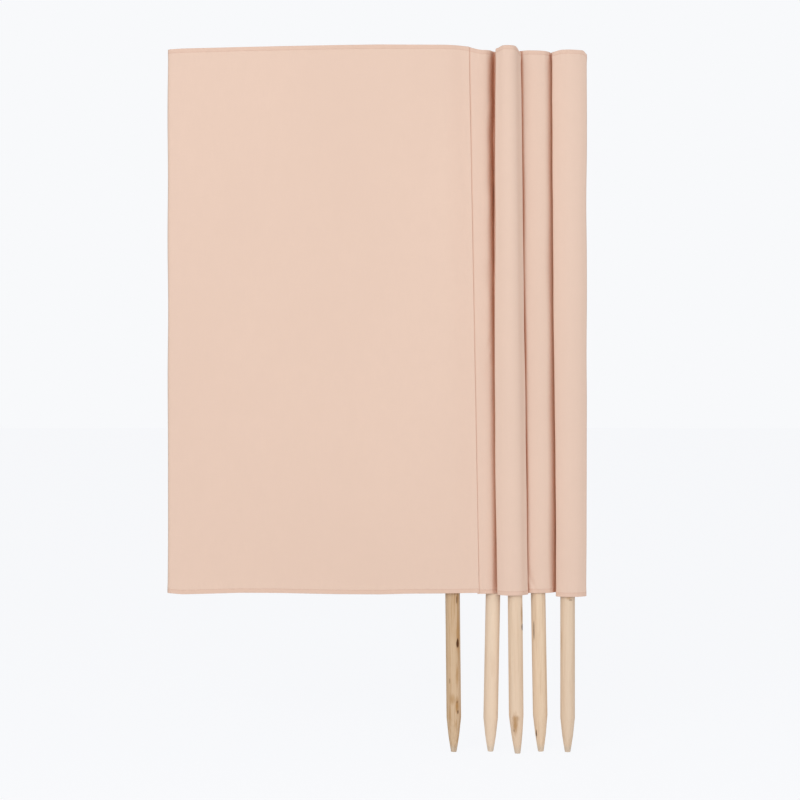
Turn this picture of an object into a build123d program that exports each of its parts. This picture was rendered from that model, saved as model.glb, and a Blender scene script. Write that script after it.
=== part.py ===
from build123d import *
import os
from math import cos, hypot, pi, sin, sqrt

os.makedirs("parts", exist_ok=True)

# A beach windbreak gathered into a bundle, millimetres, +Z up.
# The origin is the middle of the flat tip of pole 1, and the viewer stands on the -Y side.
# Poles and pockets count from the right, 1 to 5; bays count from pole 1, 1 to 4.
# From back to front the cloth lies in layers a1 a2 b1 b2 c1 c2 d2 d1, and d1 is the front panel.

# Poles: where each foot stands, and how far its head leans over from there
pole_radius = 12.5
pole_length = 1200.0
pole_feet = [(0.0, 0.0), (-45.7, 4.0), (-88.7, -11.0), (-133.2, 4.0), (-195.1, 1.2)]
pole_leans = [(0.0, 0.0), (-20.64, 0.96), (-12.24, -15.36), (22.56, 0.0), (-12.12, 0.0)]
point_lengths = [58.0, 63.0, 65.0, 58.0, 59.0]
point_rings = [(0.0, 0.384), (0.19, 0.536), (0.48, 0.744)]
tip_shifts = [0.0, 0.0, 1.8, 0.8, -0.6]
head_chamfer = 1.2

# Cloth
cloth = 0.8
hem_cloth = 1.2
hem_height = 8.0
hem_gap = 0.02
cap_cloth = 1.2
seam_cloth = 1.2
seam_width = 8.0
seam_clear = 2.0
touch = 0.3
layer_gap = cloth / 2
pitch = hem_cloth + layer_gap

# Heights of the cloth: where the bays and pockets begin, and how far they pass the pole heads
cloth_low = 275.0
bay_bottoms = [cloth_low + d for d in (0.5, 1.5, 0.0, -1.0)]
bay_tops = [pole_length + d for d in (7.0, 5.5, 8.0, 11.0)]
pocket_bottoms = [cloth_low + d for d in (-7.0, -1.0, -2.5, -1.7, 0.0)]
pocket_tops = [pole_length + d for d in (4.0, 3.5, 4.0, 3.5, 3.5)]

# Hollows of the oval pockets: middle sideways of the pole, and how much wider and deeper than it
oval_low = {1: (6.1, 13.3, 3.7), 2: (0.9, 14.2, 1.7), 3: (-4.2, 13.1, 4.7), 5: (-7.1, 13.7, 1.7)}
oval_high = {1: (3.2, 16.5, 1.7), 2: (7.6, 17.5, 1.7), 3: (-3.2, 8.4, 7.2), 5: (-6.8, 13.7, 1.7)}
oval_sides = 40
pole_seat = 0.4

# The drop-shaped pocket 4: its seam, and points of its front and back walls between the seam and the pole,
# as a share of the way to the pole and a depth
drop_seam_low = (-153.0, -14.2)
drop_seam_high = (-170.2, -14.2)
drop_front_low = [(0.25, -14.2), (0.52, -13.0), (0.76, -11.2)]
drop_front_high = [(0.30, -12.9), (0.55, -8.8), (0.76, -6.0)]
drop_back_low = (0.40, 10.0)
drop_back_high = (0.40, 9.0)
drop_mouth = 2.2
drop_clear = 0.3
drop_radius = pole_radius + drop_clear + hem_cloth / 2
tail_clear = 1.3

# The folded stack: the bays have one length from seam to seam, and their creases lie staggered
bay_length = 990.0
crease_from = {"a": -20.0, "b": -62.0, "c": -107.0, "d": -193.0}
crease_x = {name: x - bay_length / 2 for name, x in crease_from.items()}
spread_pitch = 3.5
spread_back = 25.0
spread_x = -400.0
close_x = -250.0
front_depth = -16.2


def lerp(low, high, share):
    return low + (high - low) * share


def lerp_point(low, high, share):
    return (lerp(low[0], high[0], share), lerp(low[1], high[1], share))


def pole_at(number, z):
    foot, lean = pole_feet[number - 1], pole_leans[number - 1]
    return (foot[0] + lean[0] * z / pole_length, foot[1] + lean[1] * z / pole_length)


def smooth(points, steps=2):
    """Points of a soft curve that passes through the given ones."""
    out = []
    for i in range(len(points) - 1):
        p1, p2 = points[i], points[i + 1]
        p0 = points[i - 1] if i > 0 else (2 * p1[0] - p2[0], 2 * p1[1] - p2[1])
        p3 = points[i + 2] if i + 2 < len(points) else (2 * p2[0] - p1[0], 2 * p2[1] - p1[1])
        t1 = sqrt(hypot(p1[0] - p0[0], p1[1] - p0[1]))
        t2 = t1 + sqrt(hypot(p2[0] - p1[0], p2[1] - p1[1]))
        t3 = t2 + sqrt(hypot(p3[0] - p2[0], p3[1] - p2[1]))
        for k in range(steps):
            t = lerp(t1, t2, k / steps)
            a1 = lerp_point(p0, p1, t / t1)
            a2 = lerp_point(p1, p2, (t - t1) / (t2 - t1))
            a3 = lerp_point(p2, p3, (t - t2) / (t3 - t2))
            b1 = lerp_point(a1, a2, t / t2)
            b2 = lerp_point(a2, a3, (t - t1) / (t3 - t1))
            out.append(lerp_point(b1, b2, (t - t1) / (t2 - t1)))
    out.append(points[-1])
    return out


def offset_path(points, distance, closed=False):
    """The path moved sideways by a distance, to the left of its direction."""
    out = []
    count = len(points)
    for i, (x, y) in enumerate(points):
        before = points[i - 1] if closed or i > 0 else points[i]
        after = points[(i + 1) % count] if closed or i + 1 < count else points[i]
        dx, dy = after[0] - before[0], after[1] - before[1]
        length = hypot(dx, dy)
        out.append((x - dy / length * distance, y + dx / length * distance))
    return out


def side(low_edge, high_edge):
    """The face between two straight edges, flat where they are parallel."""
    if (low_edge % 0).cross(high_edge % 0).length < 1e-12:
        return Face(Wire.make_polygon([low_edge @ 0, low_edge @ 1, high_edge @ 1, high_edge @ 0]))
    return Face.make_surface_from_curves(low_edge, high_edge)


def outline_edges(outline, z):
    corners = [Vector(x, y, z) for x, y in outline]
    return [Edge.make_line(a, b) for a, b in zip(corners, corners[1:] + corners[:1])]


def prism(low, high, z0, z1):
    """A solid between two outlines with the same number of corners."""
    rings = [outline_edges(low, z0), outline_edges(high, z1)]
    faces = [side(a, b) for a, b in zip(*rings)] + [Face(Wire(ring)) for ring in rings]
    return Solid(Shell(faces)).fix()


def ribbon(low, high, span, z0, z1, thickness):
    """A cloth sheet that stands on an open path in plan, cut out of its span of heights."""
    outlines = []
    for z in (z0, z1):
        share = (z - span[0]) / (span[1] - span[0])
        path = [lerp_point(a, b, share) for a, b in zip(low, high)]
        outlines.append(offset_path(path, thickness / 2) + offset_path(path, -thickness / 2)[::-1])
    return prism(outlines[0], outlines[1], z0, z1)


def oval_middle(number, z, sizes):
    """Middle and half sizes of a hollow whose back wall the pole lies against."""
    shift, wide, deep = sizes
    a, b = pole_radius + wide, pole_radius + deep
    x, y = pole_at(number, z)
    return (x + shift, y + pole_radius + pole_seat - b * sqrt(1 - (shift / a) ** 2), a, b)


def oval_at(number, z):
    bottom, top = pocket_bottoms[number - 1], pocket_tops[number - 1]
    low, high = oval_middle(number, bottom, oval_low[number]), oval_middle(number, top, oval_high[number])
    return [lerp(p, q, (z - bottom) / (top - bottom)) for p, q in zip(low, high)]


def oval_outline(number, z, grow):
    x, y, a, b = oval_at(number, z)
    turns = [2 * pi * k / oval_sides for k in range(oval_sides)]
    return offset_path([(x + a * cos(t), y + b * sin(t)) for t in turns], -grow, closed=True)


def oval_tube(number, z0, z1, grow):
    return prism(oval_outline(number, z0, grow), oval_outline(number, z1, grow), z0, z1)


def drop_path(z):
    """Middle line of the wall of pocket 4 in plan: from its seam round pole 4 and back."""
    share = (z - pocket_bottoms[3]) / (pocket_tops[3] - pocket_bottoms[3])
    seam = lerp_point(drop_seam_low, drop_seam_high, share)
    front = [lerp_point(p, q, share) for p, q in zip(drop_front_low, drop_front_high)]
    back = lerp_point(drop_back_low, drop_back_high, share)
    x, y = pole_at(4, z)
    path = [(seam[0], seam[1] - drop_mouth / 2)]
    path += [(lerp(seam[0], x, way), depth) for way, depth in front]
    path += [(x + drop_radius * cos(a * pi / 180), y + drop_radius * sin(a * pi / 180))
             for a in range(-90, 121, 30)]
    path += [(lerp(seam[0], x, back[0]), back[1]), (seam[0], seam[1] + drop_mouth / 2)]
    return smooth(path)


# Depths of the layers behind the poles, and where they spread out to the left
right_c1 = pole_feet[3][1] + drop_radius + hem_cloth + layer_gap / 2
depth_right = {"c2": right_c1 - pitch, "c1": right_c1, "b2": right_c1 + pitch, "b1": right_c1 + 2 * pitch,
               "a2": right_c1 + 3 * pitch, "a1": right_c1 + 4 * pitch}
depth_left = {name: spread_back - spread_pitch * i
              for i, name in enumerate(("a1", "a2", "b1", "b2", "c1", "c2", "d2"))}


def run(layer):
    """Where a layer spreads from behind the poles out to the left."""
    near, far = depth_right[layer], depth_left[layer]
    return [(close_x, near), ((spread_x + close_x) / 2, lerp(near, far, 0.5)), (spread_x, far)]


def crease(letter, back, front):
    """The turn of a bay at the left, from its back layer to its front layer."""
    radius = (depth_left[back] - depth_left[front]) / 2
    x, y = crease_x[letter] + radius, (depth_left[back] + depth_left[front]) / 2
    lead = 12.0
    turn = [(x + radius * cos(a * pi / 180), y + radius * sin(a * pi / 180)) for a in range(90, 271, 45)]
    return [(x + lead, depth_left[back])] + turn + [(x + lead, depth_left[front])]


def seam_back(number, z):
    """Depth of the middle of a seam strip that lies on the back wall of a pocket."""
    x, y, a, b = oval_at(number, z)
    return y + b + cloth + touch + seam_cloth / 2


# Seam strips between each pocket and the layers that leave it, as straight paths low and high
seam_path = {}
for level, z in (("low", cloth_low), ("high", pole_length)):
    back_1, back_2 = seam_back(1, z), seam_back(2, z)
    middle_1, middle_2, middle_3 = oval_at(1, z)[0], oval_at(2, z)[0], oval_at(3, z)
    left_5 = oval_at(5, z)[0] - oval_at(5, z)[2] - hem_cloth - touch
    tail_x = {"low": -96.0, "high": -93.1}[level]
    drop_x = {"low": drop_seam_low, "high": drop_seam_high}[level][0] - 0.9
    tail_bend = sqrt(1 - ((tail_x - middle_3[0]) / middle_3[2]) ** 2)
    tail_y = middle_3[1] + middle_3[3] * tail_bend + cloth + tail_clear
    seam_path[level] = {
        1: [(middle_1 + 2, back_1), (middle_1 + 2 - seam_width, back_1)],
        2: [(middle_2 + 4, back_2), (middle_2 + 4 - seam_width, back_2)],
        3: [(tail_x, tail_y), (tail_x, tail_y + seam_width)],
        4: [(drop_x, drop_seam_low[1]), (drop_x - seam_width, drop_seam_low[1])],
        5: [(left_5, 0.3), (left_5 - seam_width, 0.3)]}

# Plan paths of the ends of the layers where they pass between the pockets to their seams
deep_b2, deep_c1, deep_c2 = depth_right["b2"], depth_right["c1"], depth_right["c2"]
tails = {
    "low": {
        "b2": [(-94.5, 1.0), (-94.5, 9.4), (-97.0, 15.8), (-104.0, deep_b2 - 0.8), (-114.0, deep_b2), (-130.0, deep_b2)],
        "c1": [(-97.5, 1.0), (-97.5, 9.0), (-99.8, 14.6), (-105.5, deep_c1 - 0.8), (-115.0, deep_c1), (-130.0, deep_c1)],
        "c2": [(-154.9, -12.3), (-162.0, -12.2), (-170.0, -8.0), (-174.5, 3.0), (-182.0, 13.6), (-192.0, deep_c2 - 0.4),
               (-204.0, deep_c2)],
        "d1": [(-153.8, front_depth), (-175.0, front_depth), (-205.0, front_depth - 0.1)]},
    "high": {
        "b2": [(-91.6, -11.0), (-91.6, -4.5), (-92.2, 4.0), (-94.5, 14.0), (-103.0, deep_b2 - 0.8), (-120.0, deep_b2)],
        "c1": [(-94.6, -11.0), (-94.6, -4.5), (-94.1, 4.0), (-96.4, 13.0), (-104.0, deep_c1 - 0.8), (-120.0, deep_c1)],
        "c2": [(-172.1, -12.3), (-179.0, -11.8), (-183.6, -6.0), (-184.6, 5.0), (-189.0, 13.8), (-197.0, deep_c2 - 0.4),
               (-208.0, deep_c2)],
        "d1": [(-171.0, front_depth), (-188.0, front_depth), (-214.0, front_depth - 0.1)]}}


def bay_path(number, level):
    """Plan path of a bay, from one pocket seam round the crease to the next."""
    seams, tail, depth = seam_path[level], tails[level], depth_right
    if number == 1:
        start, end = seams[1][0], seams[2][0][0]
        behind = start[1] + seam_cloth / 2 + touch + hem_cloth / 2
        return ([(start[0], behind), (start[0] - 14, behind + 0.2), (-23.0, 19.6), (-34.0, 23.8),
                 (-45.0, depth["a1"]), (-80.0, depth["a1"]), (-160.0, depth["a1"])]
                + run("a1") + crease("a", "a1", "a2") + run("a2")[::-1]
                + [(-160.0, depth["a2"]), (end - 12, depth["a2"]), (end, depth["a2"])])
    if number == 2:
        start = seams[2][0]
        behind = start[1] + seam_cloth / 2 + touch + hem_cloth / 2
        return ([(start[0], behind), (start[0] - 14, behind + 0.2), (-80.0, depth["b1"]), (-160.0, depth["b1"])]
                + run("b1") + crease("b", "b1", "b2") + run("b2")[::-1]
                + [(-180.0, depth["b2"])] + tail["b2"][::-1])
    if number == 3:
        return (tail["c1"] + [(-180.0, depth["c1"])] + run("c1") + crease("c", "c1", "c2")
                + run("c2")[::-1] + tail["c2"][::-1])
    left = crease_x["d"]
    front = [(-260.0, -14.6), (-340.0, -11.4), (lerp(-340.0, left, 0.33), -8.4),
             (lerp(-340.0, left, 0.69), -6.0), (left + 33, -4.0)]
    turn = [(left + 12, -2.4), (left + 2.6, -0.6), (left + 0.3, 1.4), (left + 2.2, 3.5), (left + 12, 4.0)]
    seam = seams[5]
    behind = seam[0][1] + seam_cloth / 2 + touch + cloth / 2
    back = [(left + 48, 4.0), (lerp(left, -400.0, 0.6), 4.0), (-400.0, 4.0), (seam[1][0] - 40, 3.0),
            (seam[1][0], behind + 0.2), (seam[0][0], behind)]
    return tail["d1"] + front + turn + back


def make_pole(number):
    """A round stake with a turned point whose flat tip is the foot."""
    length, shift = point_lengths[number - 1], tip_shifts[number - 1]
    rings = []
    for share, size in point_rings + [(1.0, 1.0)]:
        middle = Plane((shift * (1 - share), 0, share * length))
        rings.append(Wire([Edge.make_circle(size * pole_radius, middle)]))
    shaft = Pos(0, 0, length) * Cylinder(pole_radius, pole_length - length,
                                         align=(Align.CENTER, Align.CENTER, Align.MIN))
    shaft = chamfer(shaft.edges().sort_by(Axis.Z)[-1], head_chamfer)
    foot, head = pole_at(number, 0), pole_at(number, pole_length)
    upright = Plane((foot[0], foot[1], 0), x_dir=(pole_length, 0, foot[0] - head[0]),
                    z_dir=(head[0] - foot[0], head[1] - foot[1], pole_length))
    return upright * (shaft + Solid.make_loft(rings, ruled=True))


def pocket_wall(number, z0, z1, thickness):
    if number == 4:
        span = (pocket_bottoms[3], pocket_tops[3])
        return ribbon(drop_path(span[0]), drop_path(span[1]), span, z0, z1, thickness)
    return oval_tube(number, z0, z1, thickness) - oval_tube(number, z0 - 1, z1 + 1, 0)


def make_pocket(number):
    z0 = pocket_bottoms[number - 1] + hem_height
    z1 = pocket_tops[number - 1] - hem_height
    return pocket_wall(number, z0, z1, cloth)


def make_pocket_bottom_hem(number):
    z0 = pocket_bottoms[number - 1]
    return pocket_wall(number, z0, z0 + hem_height - hem_gap, hem_cloth)


def make_pocket_top_hem(number):
    """The sewn-shut end of a pocket, a shallow cap over the head of its pole."""
    z1 = pocket_tops[number - 1]
    z0 = z1 - hem_height + hem_gap
    if number == 4:
        path = drop_path(z1)
        outer, hollow = offset_path(path, -hem_cloth / 2), offset_path(path, cloth / 2)
        return prism(outer, outer, z0, z1) - prism(hollow, hollow, z0 - 1, z1 - cap_cloth)
    return oval_tube(number, z0, z1, hem_cloth) - oval_tube(number, z0 - 1, z1 - cap_cloth, 0)


def make_seam(number):
    """The strip sewn between a pocket and the layers that leave it, clear of the hems."""
    z0 = pocket_bottoms[number - 1] + hem_height + seam_clear
    z1 = pocket_tops[number - 1] - hem_height - seam_clear
    span = (cloth_low, pole_length)
    return ribbon(seam_path["low"][number], seam_path["high"][number], span, z0, z1, seam_cloth)


def make_bay_part(number, part):
    z0, z1 = bay_bottoms[number - 1], bay_tops[number - 1]
    low, high = smooth(bay_path(number, "low")), smooth(bay_path(number, "high"))
    if part == "_bottom_hem":
        return ribbon(low, high, (z0, z1), z0, z0 + hem_height - hem_gap, hem_cloth)
    if part == "_top_hem":
        return ribbon(low, high, (z0, z1), z1 - hem_height + hem_gap, z1, hem_cloth)
    return ribbon(low, high, (z0, z1), z0 + hem_height, z1 - hem_height, cloth)


for i in range(1, 6):
    export_step(make_pole(i), f"parts/pole_{i}.step")
    export_step(make_pocket(i), f"parts/pocket_{i}.step")
    export_step(make_pocket_bottom_hem(i), f"parts/pocket_{i}_bottom_hem.step")
    export_step(make_pocket_top_hem(i), f"parts/pocket_{i}_top_hem.step")
    export_step(make_seam(i), f"parts/pocket_{i}_seam.step")

for i in range(1, 5):
    for part in ("", "_bottom_hem", "_top_hem"):
        export_step(make_bay_part(i, part), f"parts/bay_{i}{part}.step")
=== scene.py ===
import math
import bpy
import numpy as np
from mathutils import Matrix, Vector


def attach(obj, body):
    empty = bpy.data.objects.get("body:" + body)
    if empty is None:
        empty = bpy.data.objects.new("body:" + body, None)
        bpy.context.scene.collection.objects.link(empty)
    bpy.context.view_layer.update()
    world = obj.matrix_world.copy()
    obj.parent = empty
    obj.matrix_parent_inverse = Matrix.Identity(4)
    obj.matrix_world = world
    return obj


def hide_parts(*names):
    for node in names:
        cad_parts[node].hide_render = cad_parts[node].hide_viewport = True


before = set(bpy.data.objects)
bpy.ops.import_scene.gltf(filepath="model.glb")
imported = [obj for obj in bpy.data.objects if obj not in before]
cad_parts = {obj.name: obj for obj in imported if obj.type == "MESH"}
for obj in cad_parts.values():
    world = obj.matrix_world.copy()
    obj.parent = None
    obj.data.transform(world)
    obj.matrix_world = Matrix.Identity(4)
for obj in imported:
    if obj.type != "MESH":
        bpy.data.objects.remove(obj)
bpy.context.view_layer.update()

bl_info = {
    "name": "Gathered beach windbreak",
    "version": (1, 0, 0),
    "blender": (4, 5, 0),
    "location": "View3D > Sidebar > Windbreak",
    "description": "Sews the cloth of a gathered windbreak round its poles, with hems, seams and wood grain",
    "category": "Object",
}

MM = 0.001
POLES, BAYS = range(1, 6), range(1, 5)

# Sizes shared with the poles, pockets and bays of the frame, in millimetres
POLE_RADIUS = 12.5
POLE_LENGTH = 1200.0
POLE_FEET = [(0.0, 0.0), (-45.7, 4.0), (-88.7, -11.0), (-133.2, 4.0), (-195.1, 1.2)]
POLE_LEANS = [(0.0, 0.0), (-20.64, 0.96), (-12.24, -15.36), (22.56, 0.0), (-12.12, 0.0)]
CLOTH_LOW = 275.0
BAY_BOTTOMS = [CLOTH_LOW + d for d in (0.5, 1.5, 0.0, -1.0)]
BAY_TOPS = [POLE_LENGTH + d for d in (7.0, 5.5, 8.0, 11.0)]
POCKET_BOTTOMS = [CLOTH_LOW + d for d in (-7.0, -1.0, -2.5, -1.7, 0.0)]
POCKET_TOPS = [POLE_LENGTH + d for d in (4.0, 3.5, 4.0, 3.5, 3.5)]
# Hollows of the oval pockets at foot and head: how far their middle lies beside the pole, and how much their
# half width and half depth exceed its radius
OVAL_LOW = {1: (6.1, 13.3, 3.7), 2: (0.9, 14.2, 1.7), 3: (-4.2, 13.1, 4.7), 5: (-7.1, 13.7, 1.7)}
OVAL_HIGH = {1: (3.2, 16.5, 1.7), 2: (7.6, 17.5, 1.7), 3: (-3.2, 8.4, 7.2), 5: (-6.8, 13.7, 1.7)}
# Room between a pole and the back wall of its oval pocket
POLE_SEAT = 0.4
# Pocket 4: its seam, its front and back walls as shares of the way to the pole with a depth, the angle at
# which its front wall meets the round end, the shares of its height between which it sinks back, the radius
# of the round end, how far the wall is tucked in at the seam, and how deep its tucked edge, its front and
# its back lie beside the seam
DROP_SEAM = {"low": (-153.0, -14.2), "high": (-170.2, -14.2)}
DROP_FRONT = {
    "low": [(0.30, -14.4), (0.60, -14.0), (0.78, -13.1), (0.90, -12.1), (0.98, -11.2), (1.05, -10.3)],
    "high": [(0.28, -14.0), (0.50, -13.0), (0.60, -10.2), (0.68, -4.6), (0.725, 0.4), (0.755, 2.4)]}
DROP_BACK = {"low": (0.40, 10.0), "high": (0.40, 9.0)}
DROP_TURN = {"low": -78, "high": -164}
DROP_SINK = (0.12, 0.95)
DROP_RADIUS = POLE_RADIUS + 0.9
DROP_TUCK = 3.0
DROP_BESIDE = (-0.75, -0.7, 0.5)
# Thickness of the frame's cloth, hems and seams, and the room between them
CLOTH_CAD = 0.8
HEM_CAD = 1.2
SEAM_CAD = 1.2
SEAM_WIDTH = 8.0
TOUCH = 0.3
LAYER_GAP = 0.4
PITCH = HEM_CAD + LAYER_GAP
# The folded stack: where each bay's crease lies and how long its layers run straight into it, the pitch and
# the rearmost depth of the layers there, the places between which they close up, and the front layer's depth
BAY_LENGTH = 990.0
CREASE_FROM = {"a": -20.0, "b": -62.0, "c": -107.0, "d": -193.0}
CREASE_X = {name: x - BAY_LENGTH / 2 for name, x in CREASE_FROM.items()}
CREASE_RUN = 12.0
SPREAD_PITCH = 3.5
SPREAD_BACK = 25.0
SPREAD_X = -400.0
CLOSE_X = -250.0
FRONT_DEPTH = -16.2


# Numbers and paths

def lerp(low, high, share):
    return low + (high - low) * share


def ramp(value, start, end):
    """0 before start, 1 after end and soft between them."""
    t = np.clip((np.asarray(value, float) - start) / (end - start), 0, 1)
    return t * t * (3 - 2 * t)


def bell(value, middle, width):
    return np.exp(-((np.asarray(value, float) - middle) / width) ** 2)


def pole_at(number, z):
    foot, lean = POLE_FEET[number - 1], POLE_LEANS[number - 1]
    return np.array([foot[0] + lean[0] * z / POLE_LENGTH, foot[1] + lean[1] * z / POLE_LENGTH])


def clear_of_pole(line, pole, gap):
    """The points of a plan line, moved straight out where they are closer to a pole than the gap."""
    away = line - pole
    near = np.linalg.norm(away, axis=1)
    return pole + away * (np.maximum(near, POLE_RADIUS + gap) / near)[:, None]


def on_circle(centre, radius, degrees):
    """Points on a circle at the given angles."""
    return [(centre[0] + radius * math.cos(math.radians(a)), centre[1] + radius * math.sin(math.radians(a)))
            for a in degrees]


def smooth(points, steps=10):
    """Points of a soft curve that passes through the given ones."""
    p = [np.array(q, float) for q in points]
    p = [2 * p[0] - p[1]] + p + [2 * p[-1] - p[-2]]
    out = []
    for i in range(1, len(p) - 2):
        t1 = math.sqrt(np.linalg.norm(p[i] - p[i - 1]))
        t2 = t1 + math.sqrt(np.linalg.norm(p[i + 1] - p[i]))
        t3 = t2 + math.sqrt(np.linalg.norm(p[i + 2] - p[i + 1]))
        for k in range(steps):
            t = lerp(t1, t2, k / steps)
            a1 = lerp(p[i - 1], p[i], t / t1)
            a2 = lerp(p[i], p[i + 1], (t - t1) / (t2 - t1))
            a3 = lerp(p[i + 1], p[i + 2], (t - t2) / (t3 - t2))
            b1 = lerp(a1, a2, t / t2)
            b2 = lerp(a2, a3, (t - t1) / (t3 - t1))
            out.append(lerp(b1, b2, (t - t1) / (t2 - t1)))
    out.append(p[-2])
    return np.array(out)


def measure(points):
    """Distance along a path at each of its points."""
    steps = np.linalg.norm(np.diff(points, axis=0), axis=1)
    return np.concatenate([[0.0], np.cumsum(steps)])


def sample(points, at, length):
    """The path's points at distances along it."""
    index = np.interp(at, length, np.arange(len(length)))
    whole = np.minimum(index.astype(int), len(points) - 2)
    part = (index - whole)[:, None]
    return points[whole] * (1 - part) + points[whole + 1] * part


def way_along(line, closed):
    """The direction of a line at each of its points."""
    return np.roll(line, -1, axis=0) - np.roll(line, 1, axis=0) if closed else np.gradient(line, axis=0)


def left_of(way):
    """Level vectors to the left of each direction."""
    side = np.zeros_like(way)
    side[:, 0], side[:, 1] = -way[:, 1], way[:, 0]
    return side


def ripples(seed, count, longest, shortest, tilt=math.pi):
    """A fixed sum of waves over a sheet, between about -1 and 1."""
    rng = np.random.default_rng(seed)
    waves = [(rng.uniform(shortest, longest), rng.uniform(-tilt, tilt), rng.uniform(0, 2 * math.pi))
             for _ in range(count)]

    def field(u, v):
        total = 0.0
        for length, angle, phase in waves:
            turn = 2 * math.pi / length
            total = total + np.sin(turn * (u * math.cos(angle) + v * math.sin(angle)) + phase)
        return total / math.sqrt(count) / 1.4

    return field


def hull(points):
    """The convex outline of some points, anticlockwise."""
    points = sorted(map(tuple, points))

    def half(seq):
        out = []
        for p in seq:
            while len(out) > 1 and ((out[-1][0] - out[-2][0]) * (p[1] - out[-2][1])
                                    - (out[-1][1] - out[-2][1]) * (p[0] - out[-2][0])) <= 0:
                out.pop()
            out.append(p)
        return out[:-1]

    return np.array(half(points) + half(points[::-1]))


def reach(outline, centre, turns):
    """How far an outline lies from a centre in each direction."""
    start = outline - centre
    edge = np.roll(start, -1, axis=0) - start
    way = np.stack([np.cos(turns), np.sin(turns)], axis=1)
    cross = way[:, None, 0] * edge[None, :, 1] - way[:, None, 1] * edge[None, :, 0]
    cross = np.where(np.abs(cross) < 1e-12, 1e-12, cross)
    far = (start[None, :, 0] * edge[None, :, 1] - start[None, :, 1] * edge[None, :, 0]) / cross
    along = (start[None, :, 0] * way[:, None, 1] - start[None, :, 1] * way[:, None, 0]) / cross
    hit = (far > 0) & (along >= -1e-9) & (along <= 1 + 1e-9)
    return np.where(hit, far, 1e9).min(axis=1)


# Plan of the pockets

# How far the left and right edges of each oval pocket lie behind its middle, and how far right its right
# edge is moved; then what is added to these depths at heights, and how far right its left edge is moved
POCKET_ENDS = {1: (-4.0, 0.0, 0.0), 2: (-4.5, 3.0, 5.6), 3: (-1.5, 2.5, 0.0), 5: (0.0, 0.0, 0.0)}
LEFT_BACK = {2: ((275, 520, 1204), (0, -2.5, -6.0))}
RIGHT_BACK = {3: ((275, 400, 640, 1204), (0, 1.0, 3.0, 4.5))}
LEFT_EDGE = {1: ((275, 520, 780, 950, 1120, 1204), (0, 0, -2.2, -1.0, -2.2, -1.0)),
             2: ((275, 400, 1204), (2.0, 4.6, 4.6)),
             3: ((275, 330, 520, 780, 950, 1120, 1204), (0, -0.8, -4.0, -2.8, -2.0, -1.6, 0))}
# How sharply a pocket bends back towards its edges
END_POWER = 2.2
# How much further back the right flank of each pocket's front lies, from which to which share of its half
# width that grows, and how far it reaches round the front
POCKET_FLANK = {1: 0.0, 2: 3.2, 3: 1.6, 5: 0.0}
FLANK_SIDE, FLANK_FRONT = (0.52, 0.86), (-0.2, 0.4)
# How tight the left and right parts of each pocket are pulled round the pole, from 0 to 1, and the cosines
# of the directions between which one passes into the other
POCKET_BELT_LEFT = {1: 0.45, 2: 0.0, 3: 0.35, 5: 0.4}
POCKET_BELT = {1: 0.45, 2: 0.12, 3: 0.45, 5: 0.4}
BELT_TURN = (-0.7, 0.7)
# How far the middle of a wall lies outside its hollow, and outside the pole where the cloth is tight, and
# the radius of the ends that tight cloth is drawn over
WALL_OUT, TIGHT_OUT, TIGHT_END = 0.3, 0.55, 2.5
# Least distance of a pocket's wall from its pole, in an oval pocket, in pocket 4 and in the finished sheets
OVAL_ROOM, DROP_ROOM, SHEET_ROOM = 0.95, 0.9, 0.32


def at_level(table, number, z):
    """A pocket's value at a height, or 0 where the table leaves it out."""
    return np.interp(z, *table[number]) if number in table else 0.0


def oval_at(number, z):
    """Middle x, y and half sizes of the hollow of an oval pocket at a height."""
    ends = []
    bottom, top = POCKET_BOTTOMS[number - 1], POCKET_TOPS[number - 1]
    for level, (shift, wide, deep) in ((bottom, OVAL_LOW[number]), (top, OVAL_HIGH[number])):
        a, b = POLE_RADIUS + wide, POLE_RADIUS + deep
        x, y = pole_at(number, level)
        wall = y + POLE_RADIUS + POLE_SEAT
        ends.append(np.array([x + shift, wall - b * math.sqrt(1 - (shift / a) ** 2), a, b]))
    return lerp(ends[0], ends[1], (z - bottom) / (top - bottom))


def pocket_ring(number, z, turns):
    """Middle line of a pocket's wall at a height: part ellipse, part cloth pulled tight round the pole."""
    x, y, a, b = oval_at(number, z)
    a, b = a + WALL_OUT, b + WALL_OUT
    centre, pole = np.array([x, y]), pole_at(number, z)
    ellipse = 1 / np.sqrt((np.cos(turns) / a) ** 2 + (np.sin(turns) / b) ** 2)
    around = np.linspace(0, 2 * math.pi, 48, endpoint=False)
    ring = np.stack([np.cos(around), np.sin(around)], axis=1)
    circles = [pole + ring * (POLE_RADIUS + TIGHT_OUT), centre + (a - TIGHT_END, 0) + ring * TIGHT_END,
               centre - (a - TIGHT_END, 0) + ring * TIGHT_END]
    tight = reach(hull(np.concatenate(circles)), centre, turns)
    belt = lerp(POCKET_BELT_LEFT[number], POCKET_BELT[number], ramp(np.cos(turns), *BELT_TURN))
    ring = np.stack([np.cos(turns), np.sin(turns)], axis=1) * lerp(ellipse, tight, belt)[:, None]
    side = ring[:, 0] / a
    weight = np.clip(np.abs(side), 0, 1) ** END_POWER
    left, right, wider = POCKET_ENDS[number]
    left, right = left + at_level(LEFT_BACK, number, z), right + at_level(RIGHT_BACK, number, z)
    ring[:, 1] += weight * np.where(side < 0, left, right)
    ring[:, 0] += weight * np.where(side < 0, at_level(LEFT_EDGE, number, z), wider)
    ring[:, 1] += POCKET_FLANK[number] * ramp(side, *FLANK_SIDE) * ramp(-np.sin(turns), *FLANK_FRONT)
    return clear_of_pole(centre + ring, pole, OVAL_ROOM)


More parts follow.
